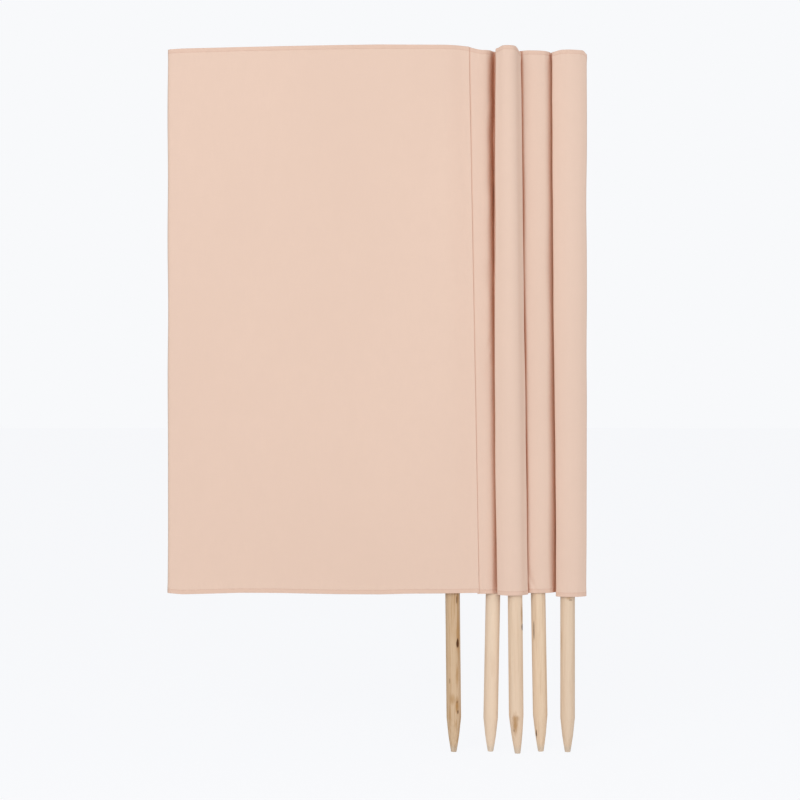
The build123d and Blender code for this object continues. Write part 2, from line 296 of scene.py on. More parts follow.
def drop_ring(z):
    """Middle line of the wall of pocket 4 in plan, clockwise from the back of its seam to the front."""
    share = (z - POCKET_BOTTOMS[3]) / (POCKET_TOPS[3] - POCKET_BOTTOMS[3])
    sunk = ramp(share, *DROP_SINK)
    seam = lerp(np.array(DROP_SEAM["low"]), np.array(DROP_SEAM["high"]), share)
    back = lerp(np.array(DROP_BACK["low"]), np.array(DROP_BACK["high"]), share)
    front = lerp(np.array(DROP_FRONT["low"]), np.array(DROP_FRONT["high"]), sunk)
    x, y = pole_at(4, z)
    tucked, before, behind = (seam[1] + depth for depth in DROP_BESIDE)
    path = [(seam[0] - DROP_TUCK, tucked), (seam[0], before)]
    path += [(lerp(seam[0], x, way), depth) for way, depth in front]
    first = lerp(DROP_TURN["low"], DROP_TURN["high"], sunk)
    path += on_circle((x, y), DROP_RADIUS, np.linspace(first, 120, 9))
    path += [(lerp(seam[0], x, back[0]), back[1]), (seam[0], behind)]
    return clear_of_pole(smooth(path)[::-1], (x, y), DROP_ROOM)


# Plan of the bays and seams

# The layers of the hidden bays from back to front, and their depths at the poles and at the creases
LAYERS = ("a1", "a2", "b1", "b2", "c1", "c2")
RIGHT_C1 = POLE_FEET[3][1] + DROP_RADIUS + HEM_CAD + LAYER_GAP / 2
DEPTH_RIGHT = {name: RIGHT_C1 + PITCH * i for i, name in enumerate(LAYERS[::-1], -1)}
DEPTH_LEFT = {name: SPREAD_BACK - SPREAD_PITCH * i for i, name in enumerate(LAYERS)}


def run(layer):
    near, far = DEPTH_RIGHT[layer], DEPTH_LEFT[layer]
    return [(CLOSE_X, near), ((SPREAD_X + CLOSE_X) / 2, lerp(near, far, 0.5)), (SPREAD_X, far)]


def folded(letter):
    """The two layers of a bay from where they close, out to its crease and back."""
    back, front = letter + "1", letter + "2"
    radius = (DEPTH_LEFT[back] - DEPTH_LEFT[front]) / 2
    x, y = CREASE_X[letter] + radius, (DEPTH_LEFT[back] + DEPTH_LEFT[front]) / 2
    turn = on_circle((x, y), radius, range(90, 271, 45))
    return (run(back) + [(x + CREASE_RUN, DEPTH_LEFT[back])] + turn + [(x + CREASE_RUN, DEPTH_LEFT[front])]
            + run(front)[::-1])


def seam_back(number, z):
    y, b = oval_at(number, z)[[1, 3]]
    return y + b + CLOTH_CAD + TOUCH + SEAM_CAD / 2


# How far right of their pockets' middles seams 1 and 2 start, where seam 3 stands, the room between seams 3
# and 4 and their pockets, and the depth of seam 5
SEAM_START = {1: 2, 2: 4}
SEAM_3_X = {"low": -96.0, "high": -93.1}
SEAM_3_ROOM, SEAM_4_ROOM = 1.3, 0.9
SEAM_5_DEPTH = 0.3


def seam_paths(z, level):
    """Start and end of each pocket's seam strip in plan."""
    three, five = oval_at(3, z), oval_at(5, z)
    left = five[0] - five[2] - HEM_CAD - TOUCH
    drop, depth = DROP_SEAM[level][0] - SEAM_4_ROOM, DROP_SEAM[level][1]
    tail = SEAM_3_X[level]
    deep = three[1] + three[3] * math.sqrt(1 - ((tail - three[0]) / three[2]) ** 2) + CLOTH_CAD + SEAM_3_ROOM
    paths = {3: [(tail, deep), (tail, deep + SEAM_WIDTH)],
             4: [(drop, depth), (drop - SEAM_WIDTH, depth)],
             5: [(left, SEAM_5_DEPTH), (left - SEAM_WIDTH, SEAM_5_DEPTH)]}
    for number, start in SEAM_START.items():
        x, behind = oval_at(number, z)[0] + start, seam_back(number, z)
        paths[number] = [(x, behind), (x - SEAM_WIDTH, behind)]
    return paths


SEAM_PATH = {"low": seam_paths(CLOTH_LOW, "low"), "high": seam_paths(POLE_LENGTH, "high")}

# How the layers of the bays run from their seams to the stack
_B2, _C1, _C2 = DEPTH_RIGHT["b2"], DEPTH_RIGHT["c1"], DEPTH_RIGHT["c2"]
TAILS = {
    "low": {
        "b2": [(-94.5, 1.0), (-94.5, 9.4), (-97.0, 15.8), (-104.0, _B2 - 0.8),
               (-114.0, _B2), (-130.0, _B2)],
        "c1": [(-97.5, 1.0), (-97.5, 9.0), (-99.8, 14.6), (-105.5, _C1 - 0.8),
               (-115.0, _C1), (-130.0, _C1)],
        "c2": [(-154.9, -12.3), (-162.0, -12.2), (-170.0, -8.0), (-174.5, 3.0), (-182.0, 13.6),
               (-192.0, _C2 - 0.4), (-204.0, _C2)],
        "d1": [(-153.8, FRONT_DEPTH), (-175.0, FRONT_DEPTH), (-205.0, FRONT_DEPTH - 0.1)]},
    "high": {
        "b2": [(-91.6, -11.0), (-91.6, -4.5), (-92.2, 4.0), (-94.5, 14.0),
               (-103.0, _B2 - 0.8), (-120.0, _B2)],
        "c1": [(-94.6, -11.0), (-94.6, -4.5), (-94.1, 4.0), (-96.4, 13.0),
               (-104.0, _C1 - 0.8), (-120.0, _C1)],
        "c2": [(-172.1, -12.3), (-179.0, -11.8), (-183.6, -6.0), (-184.6, 5.0), (-189.0, 13.8),
               (-197.0, _C2 - 0.4), (-208.0, _C2)],
        "d1": [(-171.0, FRONT_DEPTH), (-188.0, FRONT_DEPTH), (-214.0, FRONT_DEPTH - 0.1)]}}


def bay_path(number, level):
    """Plan path of a bay, from one pocket seam round the crease to the next."""
    seams, tail, depth = SEAM_PATH[level], TAILS[level], DEPTH_RIGHT
    if number < 3:
        x, y = seams[number][0]
        behind = y + SEAM_CAD / 2 + TOUCH + HEM_CAD / 2
        path = [(x, behind), (x - 14, behind + 0.2)]
    if number == 1:
        end = seams[2][0][0]
        path += [(-23.0, 19.6), (-34.0, 23.8)] + [(x, depth["a1"]) for x in (-45.0, -80.0, -160.0)]
        path += folded("a") + [(x, depth["a2"]) for x in (-160.0, end - 12, end)]
    elif number == 2:
        path += [(-80.0, depth["b1"]), (-160.0, depth["b1"])] + folded("b") + [(-180.0, depth["b2"])]
        path += tail["b2"][::-1]
    elif number == 3:
        path = tail["c1"] + [(-180.0, depth["c1"])] + folded("c") + tail["c2"][::-1]
    else:
        left = CREASE_X["d"]
        front = [(-260.0, -14.6), (-340.0, -11.4), (lerp(-340.0, left, 0.33), -8.4),
                 (lerp(-340.0, left, 0.69), -6.0), (left + 33, -4.0)]
        turn = [(left + dx, y) for dx, y in ((12, -2.4), (2.6, -0.6), (0.3, 1.4), (2.2, 3.5), (12, 4.0))]
        seam, end = seams[5]
        behind = seam[1] + SEAM_CAD / 2 + TOUCH + CLOTH_CAD / 2
        back = [(left + 48, 4.0), (lerp(left, -400.0, 0.6), 4.0), (-400.0, 4.0), (end[0] - 40, 3.0),
                (end[0], behind + 0.2), (seam[0], behind)]
        x, y = tail["d1"][0]
        under = [(x + dx, y + dy) for dx, dy in (
            (-6.0, 0.75), (-2.0, 0.75), (0.1, 0.72), (0.5, 0.4), (0.1, 0.08), (-2.5, 0.0))]
        path = under + tail["d1"][1:] + front + turn + back
    return smooth(path)


# Settings

def length_setting(name, description, default, **more):
    return bpy.props.FloatProperty(name=name, description=description, default=default, unit="LENGTH",
                                   **more)


def colour_setting(name, description, default):
    return bpy.props.FloatVectorProperty(name=name, description=description, default=default,
                                         subtype="COLOR", size=3, min=0, max=1)


class WindbreakCloth(bpy.types.PropertyGroup):
    """Sizes and colours of the cloth"""
    thickness: length_setting("Thickness", "Thickness of the woven cloth", 0.00045, min=0.0001, precision=5)
    hem: length_setting("Hem", "Height of the hem that is turned over and sewn", 0.008)
    pucker: length_setting("Pucker", "Depth of the small gathers along a seam", 0.00028, precision=5)
    relief: length_setting("Relief", "Depth of the broad soft folds of a bay", 0.0009, precision=5)
    stitch_pitch: length_setting("Stitch pitch", "Distance from one stitch to the next", 0.0036, precision=5)
    stitch_length: length_setting("Stitch length", "Length of thread that shows in a stitch", 0.0027,
                                  precision=5)
    thread: length_setting("Thread", "Thickness of the sewing thread", 0.00042, precision=5)
    colour: colour_setting("Cloth colour", "Colour of the cloth", (0.836, 0.628, 0.521))
    thread_colour: colour_setting("Thread colour", "Colour of the sewing thread", (0.66, 0.43, 0.34))


class WindbreakWood(bpy.types.PropertyGroup):
    """Colours of the poles"""
    pale: colour_setting("Pale wood", "Colour of the wood between the grain lines", (0.87, 0.698, 0.54))
    grain: colour_setting("Grain", "Colour of the grain lines", (0.64, 0.44, 0.28))
    knot: colour_setting("Knot", "Colour of knots and dark streaks", (0.12, 0.048, 0.016))
    stain: colour_setting("Stain", "Colour of brown stains and streaks", (0.47, 0.26, 0.105))


class WindbreakStudio(bpy.types.PropertyGroup):
    """Floor, light and camera"""
    backdrop: colour_setting("Backdrop", "Colour of the floor and backdrop", (0.939, 0.948, 0.965))
    sky: bpy.props.FloatProperty(name="Fill", description="Strength of the even light from all sides",
                                 default=0.56)
    key: bpy.props.FloatProperty(name="Key", description="Power of the large soft lamp at the left",
                                 default=44.5, unit="POWER")
    distance: length_setting("Distance", "Distance of the camera from the poles", 2.6)


def cloth_settings():
    return bpy.context.scene.windbreak_cloth


def add_object(name, data):
    made = bpy.data.objects.new(name, data)
    bpy.context.scene.collection.objects.link(made)
    return made


# Rows of a sheet. A row is its height, its offset to the face side, how far it is drawn shut and how dark

# How dark doubled cloth and a stitched line are, and how dark the painted shadow is that the front bay's
# turned edge casts on pocket 4 along its seam, from 0 to 1
DOUBLED = 0.16
STITCHED = 0.34
SEAM_SHADOW = 0.6
# How far from its raw edge a hem is sewn, the room in its fold, how deep the thread pulls in its flap and
# its face, and how far from the hem the cloth is flat again
STITCH_IN = 1.4
FOLD_ROOM = 0.14
FLAP_PINCH, FACE_PINCH = 0.13, 0.24
HEM_FADE = 9
# Lift of the face at a pocket's top hem, the radius of its edge, and how it closes over the pole: shares of
# the way shut with heights above it, and an offset
POCKET_LIFT, ROUND_EDGE = 0.36, 1.0
CLOSING = [(0.10, 0.05), (0.25, -0.25), (0.45, -0.55), (0.65, -0.7), (0.80, -0.6), (0.90, -0.2),
           (0.955, 0.5), (0.965, 1.2)]
CLOSING_OFFSET = -0.6
# Distances between the plain rows of the front bay and the pockets, and of the hidden bays
FINE_ROWS, WIDE_ROWS = 9.0, 15.0


def hem_steps(hem):
    """Distances from a hem's folded edge at which rows lie, from its fold to past its raw edge."""
    stitch = hem - STITCH_IN
    past = [hem + d for d in (1.6, 4, 8, 14, 22)]
    return [0.6, 1.3, 2.6, 4.4, stitch - 0.6, stitch, stitch + 0.6, hem] + past


def face_row(height, step, hem, lift):
    stitch = hem - STITCH_IN
    face = lift * (1 - float(ramp(step, hem, hem + HEM_FADE))) - (FACE_PINCH if step == stitch else 0.0)
    return height, face, 0.0, STITCHED if step == stitch else DOUBLED * (step < stitch)


def hem_rows(edge, inward):
    """Rows of a turned hem at a horizontal edge: its flap, its fold and its face."""
    s = cloth_settings()
    hem, gap = s.hem / MM, s.thickness / MM + FOLD_ROOM
    lift, stitch = gap / 2, hem - STITCH_IN
    steps = hem_steps(hem)
    rows = []
    for d in steps[7::-1]:
        pinch, dark = (FLAP_PINCH, STITCHED) if d == stitch else (0.0, DOUBLED)
        rows.append((edge + inward * d, lift - (gap - pinch), 0.0, dark))
    for turn in (-60, -20, 20, 60):
        t = math.radians(turn)
        height = edge + inward * gap / 2 * (1 - math.cos(t))
        rows.append((height, lift + (math.sin(t) - 1) * gap / 2, 0.0, DOUBLED))
    return rows + [face_row(edge + inward * d, d, hem, lift) for d in steps]


def plain_rows(low, high, spacing):
    count = max(2, int(round((high - low) / spacing)))
    return [(lerp(low, high, i / count), 0.0, 0.0, 0.0) for i in range(1, count)]


def bay_rows(bottom, top, spacing):
    low, high = hem_rows(bottom, 1), hem_rows(top, -1)
    return low + plain_rows(low[-1][0], high[-1][0], spacing) + high[::-1]


def pocket_rows(bottom, top):
    """Rows of a pocket: a turned hem at its open foot, and a hem and a soft closure over its pole's head."""
    hem = cloth_settings().hem / MM
    low = hem_rows(bottom, 1)
    high = [face_row(top - d, d, hem, POCKET_LIFT) for d in hem_steps(hem)[:1:-1] + [1.5]]
    for turn in (25, 50, 75):
        t = math.radians(turn)
        face = POCKET_LIFT - ROUND_EDGE * (1 - math.cos(t))
        high.append((top - ROUND_EDGE * (1 - math.sin(t)), face, 0.0, DOUBLED))
    closing = [(top + rise, CLOSING_OFFSET, shut, DOUBLED) for shut, rise in CLOSING]
    return low + plain_rows(low[-1][0], high[0][0], FINE_ROWS) + high + closing


# Sheets of cloth

def cloth_grid(rows, at, field, edges, closed, pole=None):
    """Points of a sheet: for each row its plan path, moved along its own face by the row's offset and the
    relief, and round the pole that it holds."""
    out = []
    bottom, top = min(r[0] for r in rows), max(r[0] for r in rows)
    for z, offset, shut, _ in rows:
        plan = at(z)
        face = left_of(way_along(plan, closed))
        face /= np.linalg.norm(face, axis=1)[:, None]
        moved = plan + face * (offset + field(z))[:, None]
        if pole and z < POLE_LENGTH + 1:
            moved = clear_of_pole(moved, pole_at(pole, z), SHEET_ROOM)
        share = (z - bottom) / (top - bottom)
        height = z + edges[0] * (1 - share) ** 3 + edges[1] * share ** 3
        if shut:
            other, level = moved[::-1], height[::-1]
            if closed:
                other, level = np.roll(other, 1, axis=0), np.roll(level, 1)
            moved = lerp(moved, (moved + other) / 2, shut)
            height = lerp(height, (height + level) / 2, shut)
        out.append(np.concatenate([moved, np.broadcast_to(height, (len(plan),))[:, None]], axis=1))
    return np.array(out)


def grid_mesh(name, points, across, closed, dark):
    """A mesh through rows of points. Its UV map is the cloth's own measure in metres, and an attribute keeps
    how dark each point is."""
    rows, cols = points.shape[:2]
    steps = np.linalg.norm(np.diff(points, axis=0), axis=2).mean(axis=1)
    along = np.concatenate([[0.0], np.cumsum(steps)]) * MM
    wide = np.asarray(across) * MM
    i, j = np.meshgrid(np.arange(rows - 1), np.arange(cols if closed else cols - 1), indexing="ij")
    i, j = i.ravel(), j.ravel()
    k = (j + 1) % cols
    quads = np.stack([i * cols + j, (i + 1) * cols + j, (i + 1) * cols + k, i * cols + k], axis=1)
    mesh = bpy.data.meshes.new(name)
    mesh.from_pydata((points.reshape(-1, 3) * MM).tolist(), [], quads.tolist())
    corners = [np.stack([wide[a], along[b]], axis=1)
               for a, b in ((j, i), (j, i + 1), (j + 1, i + 1), (j + 1, i))]
    uv = mesh.uv_layers.new(name="cloth_measure")
    uv.data.foreach_set("uv", np.stack(corners, axis=1).reshape(-1).astype(np.float32))
    kept = mesh.attributes.new("shade", "FLOAT", "POINT")
    kept.data.foreach_set("value", dark.ravel().astype(np.float32))
    mesh.materials.append(bpy.data.materials["windbreak_cloth"])
    mesh.polygons.foreach_set("use_smooth", np.ones(len(quads), bool))
    mesh.update()
    return mesh


def sew_sheet(name, rows, points, across, closed, line, replaced):
    """A sheet with the thickness of cloth, dark where its rows are or where a line across it is darker, and
    what it stands for in the frame."""
    dark = np.array([row[3] for row in rows], float)
    dark = np.maximum(dark[:, None], np.broadcast_to(line, points.shape[1]))
    piece = add_object(name, grid_mesh(name, points, across, closed, dark))
    wall = piece.modifiers.new("Cloth thickness", "SOLIDIFY")
    wall.thickness = cloth_settings().thickness
    wall.offset = 0.0
    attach(piece, "root")
    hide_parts(*replaced)


STITCH_LINES = {}
# How far out of the cloth the middle of the thread lies, as a share of its thickness
THREAD_OUT = 0.12
# Rows at each end that the upright line of stitches leaves out
UPRIGHT_ENDS = 16


def keep_line(group, line, way, sign, closed=False):
    """Remembers a line of stitching on the face of a sheet, or for -1 on its back: its points and the
    directions that its thread faces, in millimetres."""
    s = cloth_settings()
    faces = left_of(way)
    faces *= sign / np.linalg.norm(faces, axis=1)[:, None]
    placed = line + faces * (s.thickness / MM / 2 + s.thread / MM * THREAD_OUT)
    if closed:
        placed, faces = (np.concatenate([p, p[:1]]) for p in (placed, faces))
    STITCH_LINES.setdefault(group, []).append((placed, faces))


def keep_hem_lines(group, rows, points, closed, both_sides, top):
    """Remembers the stitching of a sheet's hems, on its face and, where asked, on its flaps too."""
    stitch = cloth_settings().hem / MM - STITCH_IN
    heights = np.array([row[0] for row in rows])
    low, high = (np.flatnonzero(np.abs(heights - level) < 0.02)
                 for level in (heights.min() + stitch, top - stitch))
    lines = [(low[-1], 1), (high[0], 1)]
    if both_sides:
        lines += [(low[0], -1)] + [(k, -1) for k in high[1:]]
    for k, sign in lines:
        keep_line(group, points[k], way_along(points[k], closed), sign, closed)


# Waves of the gathers along hems and of the tugs along seams: how many, their longest and shortest length,
# and how far they turn from the row
GATHERS = (9, 17.0, 7.0, 0.25)
TUGS = (9, 34.0, 13.0, 0.25)
# The distances over which tugs at a seam fade
TUG_FADE, FRONT_TUG_FADE, DROP_TUG_FADE = 26.0, 34.0, 16.0
# The cloth that is turned under at the front bay's seam, and how its edges rise at distances from there
TURNED_UNDER = 7.2
FRONT_AT = [0, 20, 60, 110, 160, 230, 330, 400, 450, 500, 540, 600]
FRONT_LOW = [1.0, 1.0, 0.5, 0.0, -1.5, -1.5, 0.0, 0.0, -1.5, -2.8, 0.0, 0.0]
FRONT_HIGH = [-2.5, -1.0, -0.5, 0.0, 0.8, 0.8, 0.0, -1.0, -2.0, -2.8, -4.5, -4.5]
# The share of the front bay's length that lies in front
FRONT_SHARE = 0.56
# How far the front bay bulges at its foot and how much more at its head, and the distances from its seam
# over which that begins and ends
BULGE, BULGE_MORE = 3.2, 2.2
BULGE_FROM, BULGE_TO = (0, 46), (170, 400)
# The heights at which tugs are strongest at the seams of the front bay and of pocket 4, and their reach
FRONT_TUGS, DROP_TUGS = (965, 130), (380, 120)


def near_hems(z, bottom, top):
    """How strongly the gathers of the hems show at a height."""
    return bell(z, bottom + 7, 9.0) + bell(z, top - 7, 9.0)


def bay_sheet(number):
    """One bay of cloth as a single sheet with turned hems, from seam to seam."""
    s = cloth_settings()
    front = number == 4
    low, high = bay_path(number, "low"), bay_path(number, "high")
    length = measure((low + high) / 2)
    whole = length[-1]
    if front:
        at = np.concatenate([[0.0, 2.5, 4.6], np.arange(5.6, 8.2, 0.26), [9.0, 10.4],
                             np.arange(12.4, whole * FRONT_SHARE, 2.9),
                             np.arange(whole * FRONT_SHARE + 3, whole - 3, 7.0), [whole]])
    else:
        at = np.concatenate([[0, 1.5], np.arange(4.5, whole - 4, 4.6), [whole - 1.5, whole]])
    plan_low, plan_high = sample(low, at, length), sample(high, at, length)
    bottom, top = BAY_BOTTOMS[number - 1], BAY_TOPS[number - 1]
    rows = bay_rows(bottom, top, FINE_ROWS if front else WIDE_ROWS)
    x = (plan_low[:, 0] + plan_high[:, 0]) / 2
    room = 0.25 + 0.75 * ramp(-x, 240, 420)
    broad, own = ripples(11, 7, 460.0, 170.0), ripples(20 + number, 6, 230.0, 90.0)
    gathers, tugs = ripples(40 + number, *GATHERS), ripples(60 + number, *TUGS)
    pucker, relief = s.pucker / MM, s.relief / MM
    from_seam = np.maximum(at - TURNED_UNDER, 0.0)
    far_end = np.exp(-(whole - at) / TUG_FADE)

    def field(z):
        folds = np.where(x < 0, broad(x, z), 0) * 0.7 + own(at, z) * 0.45 * (1.0 if front else 0.5)
        drawn = tugs(z + 0.9 * np.minimum(at, whole - at), np.zeros(1)) * pucker
        soft = folds * relief * room + gathers(at, z * 0.15) * pucker * near_hems(z, bottom, top)
        if not front:
            return soft + drawn * 0.6 * (np.exp(-at / TUG_FADE) + far_end)
        bulge = ((BULGE + BULGE_MORE * (z - bottom) / (top - bottom)) * ramp(from_seam, *BULGE_FROM)
                 * (1 - ramp(from_seam, *BULGE_TO)))
        near_end = np.exp(-from_seam / FRONT_TUG_FADE) * ramp(from_seam, 0, 7)
        drawn = drawn * (0.7 + 1.6 * bell(z, *FRONT_TUGS)) * (near_end + far_end)
        return soft * ramp(at, 7, 30) + bulge + drawn

    def at_height(z):
        return lerp(plan_low, plan_high, (z - bottom) / (top - bottom))

    if front:
        edges = [np.interp(at - TURNED_UNDER, FRONT_AT, heights) for heights in (FRONT_LOW, FRONT_HIGH)]
    else:
        wave = ripples(80 + number, 5, 260.0, 90.0, 0.1)
        edges = [wave(at, np.zeros(1)) * 0.6, wave(at, np.ones(1) * 40) * 0.6 - 0.5]
    points = cloth_grid(rows, at_height, field, edges, False)
    name = f"bay_{number}"
    sew_sheet(name + "_cloth", rows, points, at, False, 0.0,
              (name, name + "_bottom_hem", name + "_top_hem"))
    keep_hem_lines(name, rows, points, False, number in (1, 4), top)
    if number == 1:
        inner = points[UPRIGHT_ENDS:-UPRIGHT_ENDS]
        keep_line(name, inner[:, 1], inner[:, 2] - inner[:, 1], -1)


POCKET_COLUMNS = 84
# How far the top of each pocket falls towards its left and right corners, and where it starts to fall
POCKET_SHOULDER = {1: (2.6, 5.5, 0.45, 0.76), 2: (1.5, 2.0, 0.5, 0.6), 3: (3.6, 7.5, 0.45, 0.50),
                   4: (-4.2, 1.5, 0.3, 0.5), 5: (2.0, 2.0, 0.5, 0.5)}
# The slanting fold at the foot of pocket 2: its depth, a point that it passes and its slant, its width, the
# height at which it is deepest and how far it reaches
FOOT_FOLD = 1.7
FOOT_FOLD_X, FOOT_FOLD_Z, FOOT_FOLD_SLANT = -68.0, 309, 0.39
FOOT_FOLD_WIDTH, FOOT_FOLD_AT = 2.8, (294, 17)
# The dent in pocket 4: its depth, its height and reach, its distance from the seam, its slant and width
DENT, DENT_AT = 1.3, (699, 12)
DENT_FROM_SEAM, DENT_SLANT, DENT_WIDTH = 28.0, 0.5, 4.0
# How dark the left edge of pocket 2 is where pocket 3 shades it, and the width of that edge in plan
SHADED_EDGE, SHADED_WIDTH = 1.0, (4.3, 6.3)
# The height of the cloth in a pocket's closed top
CLOSED_TOP = 12


def pocket_columns(number):
    """Directions round an oval pocket, clockwise from its right edge and evenly spaced along its wall."""
    middle = (POCKET_BOTTOMS[number - 1] + POCKET_TOPS[number - 1]) / 2
    fine = -np.linspace(0, 2 * math.pi, 721)
    ring = pocket_ring(number, middle, fine[:-1])
    length = measure(np.concatenate([ring, ring[:1]]))
    even = np.linspace(0, length[-1], POCKET_COLUMNS + 1)
    return np.interp(even, length, fine)[:-1], even


def drop_folds(z, share, from_seam, sway, tugs):
    """The valley beside the seam of pocket 4, the tugs along the seam and the dent at the middle."""
    valley = bell(from_seam, lerp(18.0, 38.0, share), 7.0) * ramp(share, 0.1, 0.5)
    drawn = tugs(z - 0.9 * from_seam, np.zeros(1))
    drawn = drawn * np.exp(-from_seam / DROP_TUG_FADE) * ramp(from_seam, 3, 8)
    dent = bell(from_seam - DENT_SLANT * (z - DENT_AT[0]), DENT_FROM_SEAM, DENT_WIDTH) * bell(z, *DENT_AT)
    return sway(z * 2.4, 0.0) * 1.5 * valley, drawn * (0.25 + 0.65 * bell(z, *DROP_TUGS)), DENT * dent


def pocket_sheet(number):
    """One sewn pocket round its pole."""
    s = cloth_settings()
    bottom, top = POCKET_BOTTOMS[number - 1], POCKET_TOPS[number - 1]
    rows = pocket_rows(bottom, top)
    closed = number != 4
    sway = ripples(100 + number, 5, 520.0, 150.0, 0.05)
    soft = ripples(120 + number, 8, 420.0, 120.0, 0.5)
    gathers, tugs = ripples(140 + number, *GATHERS), ripples(180 + number, *TUGS)
    if closed:
        turns, across = pocket_columns(number)
        at = across[:-1]
    else:
        length = measure(drop_ring((bottom + top) / 2))
        whole = length[-1]
        across = at = np.concatenate([np.linspace(0, whole - 8, POCKET_COLUMNS),
                                      whole - np.arange(7.2, -0.1, -0.8)])
    from_seam = across[-1] - at

    def at_height(z):
        if closed:
            return pocket_ring(number, z, turns) + np.array([sway(z, 0.0) * 0.7, 0.0])
        return sample(drop_ring(z), at, length)

    def field(z):
        share = (z - bottom) / (top - bottom)
        folds = soft(z, at) * 0.35 * (1 if closed else 0.6)
        if number == 4:
            valley, drawn, dent = drop_folds(z, share, from_seam, sway, tugs)
            folds = folds + valley + drawn - dent
        if number == 2:
            plan = at_height(z)
            front = plan[:, 1] < oval_at(2, z)[1]
            x = FOOT_FOLD_X + FOOT_FOLD_SLANT * (FOOT_FOLD_Z - z)
            fold = FOOT_FOLD * bell(plan[:, 0], x, FOOT_FOLD_WIDTH) * bell(z, *FOOT_FOLD_AT)
            folds = folds - fold * front
        gathered = gathers(at, z * 0.15) * s.pucker / MM * near_hems(z, bottom, top)
        return folds * min(1.0, (top - z) / 60.0) + gathered

    spread = at_height(top)[:, 0]
    side = (spread - (spread.min() + spread.max()) / 2) / ((spread.max() - spread.min()) / 2)
    left, right, left_from, right_from = POCKET_SHOULDER[number]
    edges = [np.zeros(len(at)), -left * ramp(-side, left_from, 1.0) - right * ramp(side, right_from, 1.0)]
    points = cloth_grid(rows, at_height, field, edges, closed, number)
    line = 0.0
    if number == 4:
        # Painted shadow: a dark line on pocket 4 just beside its seam, where the front bay's edge overlaps
        # it
        line = SEAM_SHADOW * bell(from_seam, DROP_TUCK + 0.5, 0.8)
    if number == 2:
        plan = at_height((bottom + top) / 2)
        end = plan[plan[:, 0].argmin()]
        line = SHADED_EDGE * (1 - ramp(plan[:, 0] - end[0], *SHADED_WIDTH)) * (plan[:, 1] < end[1] + 1.0)
    name, high = f"pocket_{number}", top - bottom + 2 * s.hem / MM + CLOSED_TOP
    sew_sheet(name + "_cloth", rows, points, across, closed, line,
              (name, name + "_bottom_hem", name + "_top_hem"))
    keep_hem_lines(name, rows, points, closed, True, top)


# Room between the two layers of a seam strip, and how far it ends from the hems
SEAM_GAP = 0.62
SEAM_END = 2.2


def seam_sheet(number):
    """The sewn allowance between a pocket and the cloth that leaves it, folded in two."""
    hem = cloth_settings().hem
    ends = []
    for level in ("low", "high"):
        start, end = (np.array(q, float) for q in SEAM_PATH[level][number])
        way = (end - start) / np.linalg.norm(end - start)
        face = np.array([-way[1], way[0]])
        near, far = start + way * 0.2, end - way * (SEAM_GAP / 2 + 0.25)
        turn = [far + way * math.sin(t) * SEAM_GAP / 2 + face * math.cos(t) * SEAM_GAP / 2
                for t in (math.radians(a) for a in range(0, 181, 30))]
        straight = [lerp(near, far, t) for t in (0, 0.15, 0.35, 0.6, 0.85)]
        ends.append(np.array([q + face * SEAM_GAP / 2 for q in straight] + turn
                             + [q - face * SEAM_GAP / 2 for q in straight[::-1]]))
    bottom = POCKET_BOTTOMS[number - 1] + hem / MM + SEAM_END
    top = POCKET_TOPS[number - 1] - hem / MM - SEAM_END
    rows = [(z, 0.0, 0.0, 0.0) for z in np.linspace(bottom, top, 70)]
    at = measure((ends[0] + ends[1]) / 2)
    wave = ripples(160 + number, 6, 90.0, 25.0, 0.1)
    points = cloth_grid(rows, lambda z: lerp(ends[0], ends[1], (z - CLOTH_LOW) / (POLE_LENGTH - CLOTH_LOW)),
                        lambda z: np.zeros(len(at)) + 0.05 * wave(z, 0.0), [0.0, 0.0], False)
    name = f"pocket_{number}"
    sew_sheet(name + "_seam_cloth", rows, points, at, False, 0.0,
              (name + "_seam",))


# Stitching

def join(tree, *pairs):
    """Links each pair of sockets."""
    for source, target in pairs:
        tree.links.new(source, target)


def fill(node, values):
    """Sets inputs of a node by their names."""
    for name, value in values.items():
        node.inputs[name].default_value = value


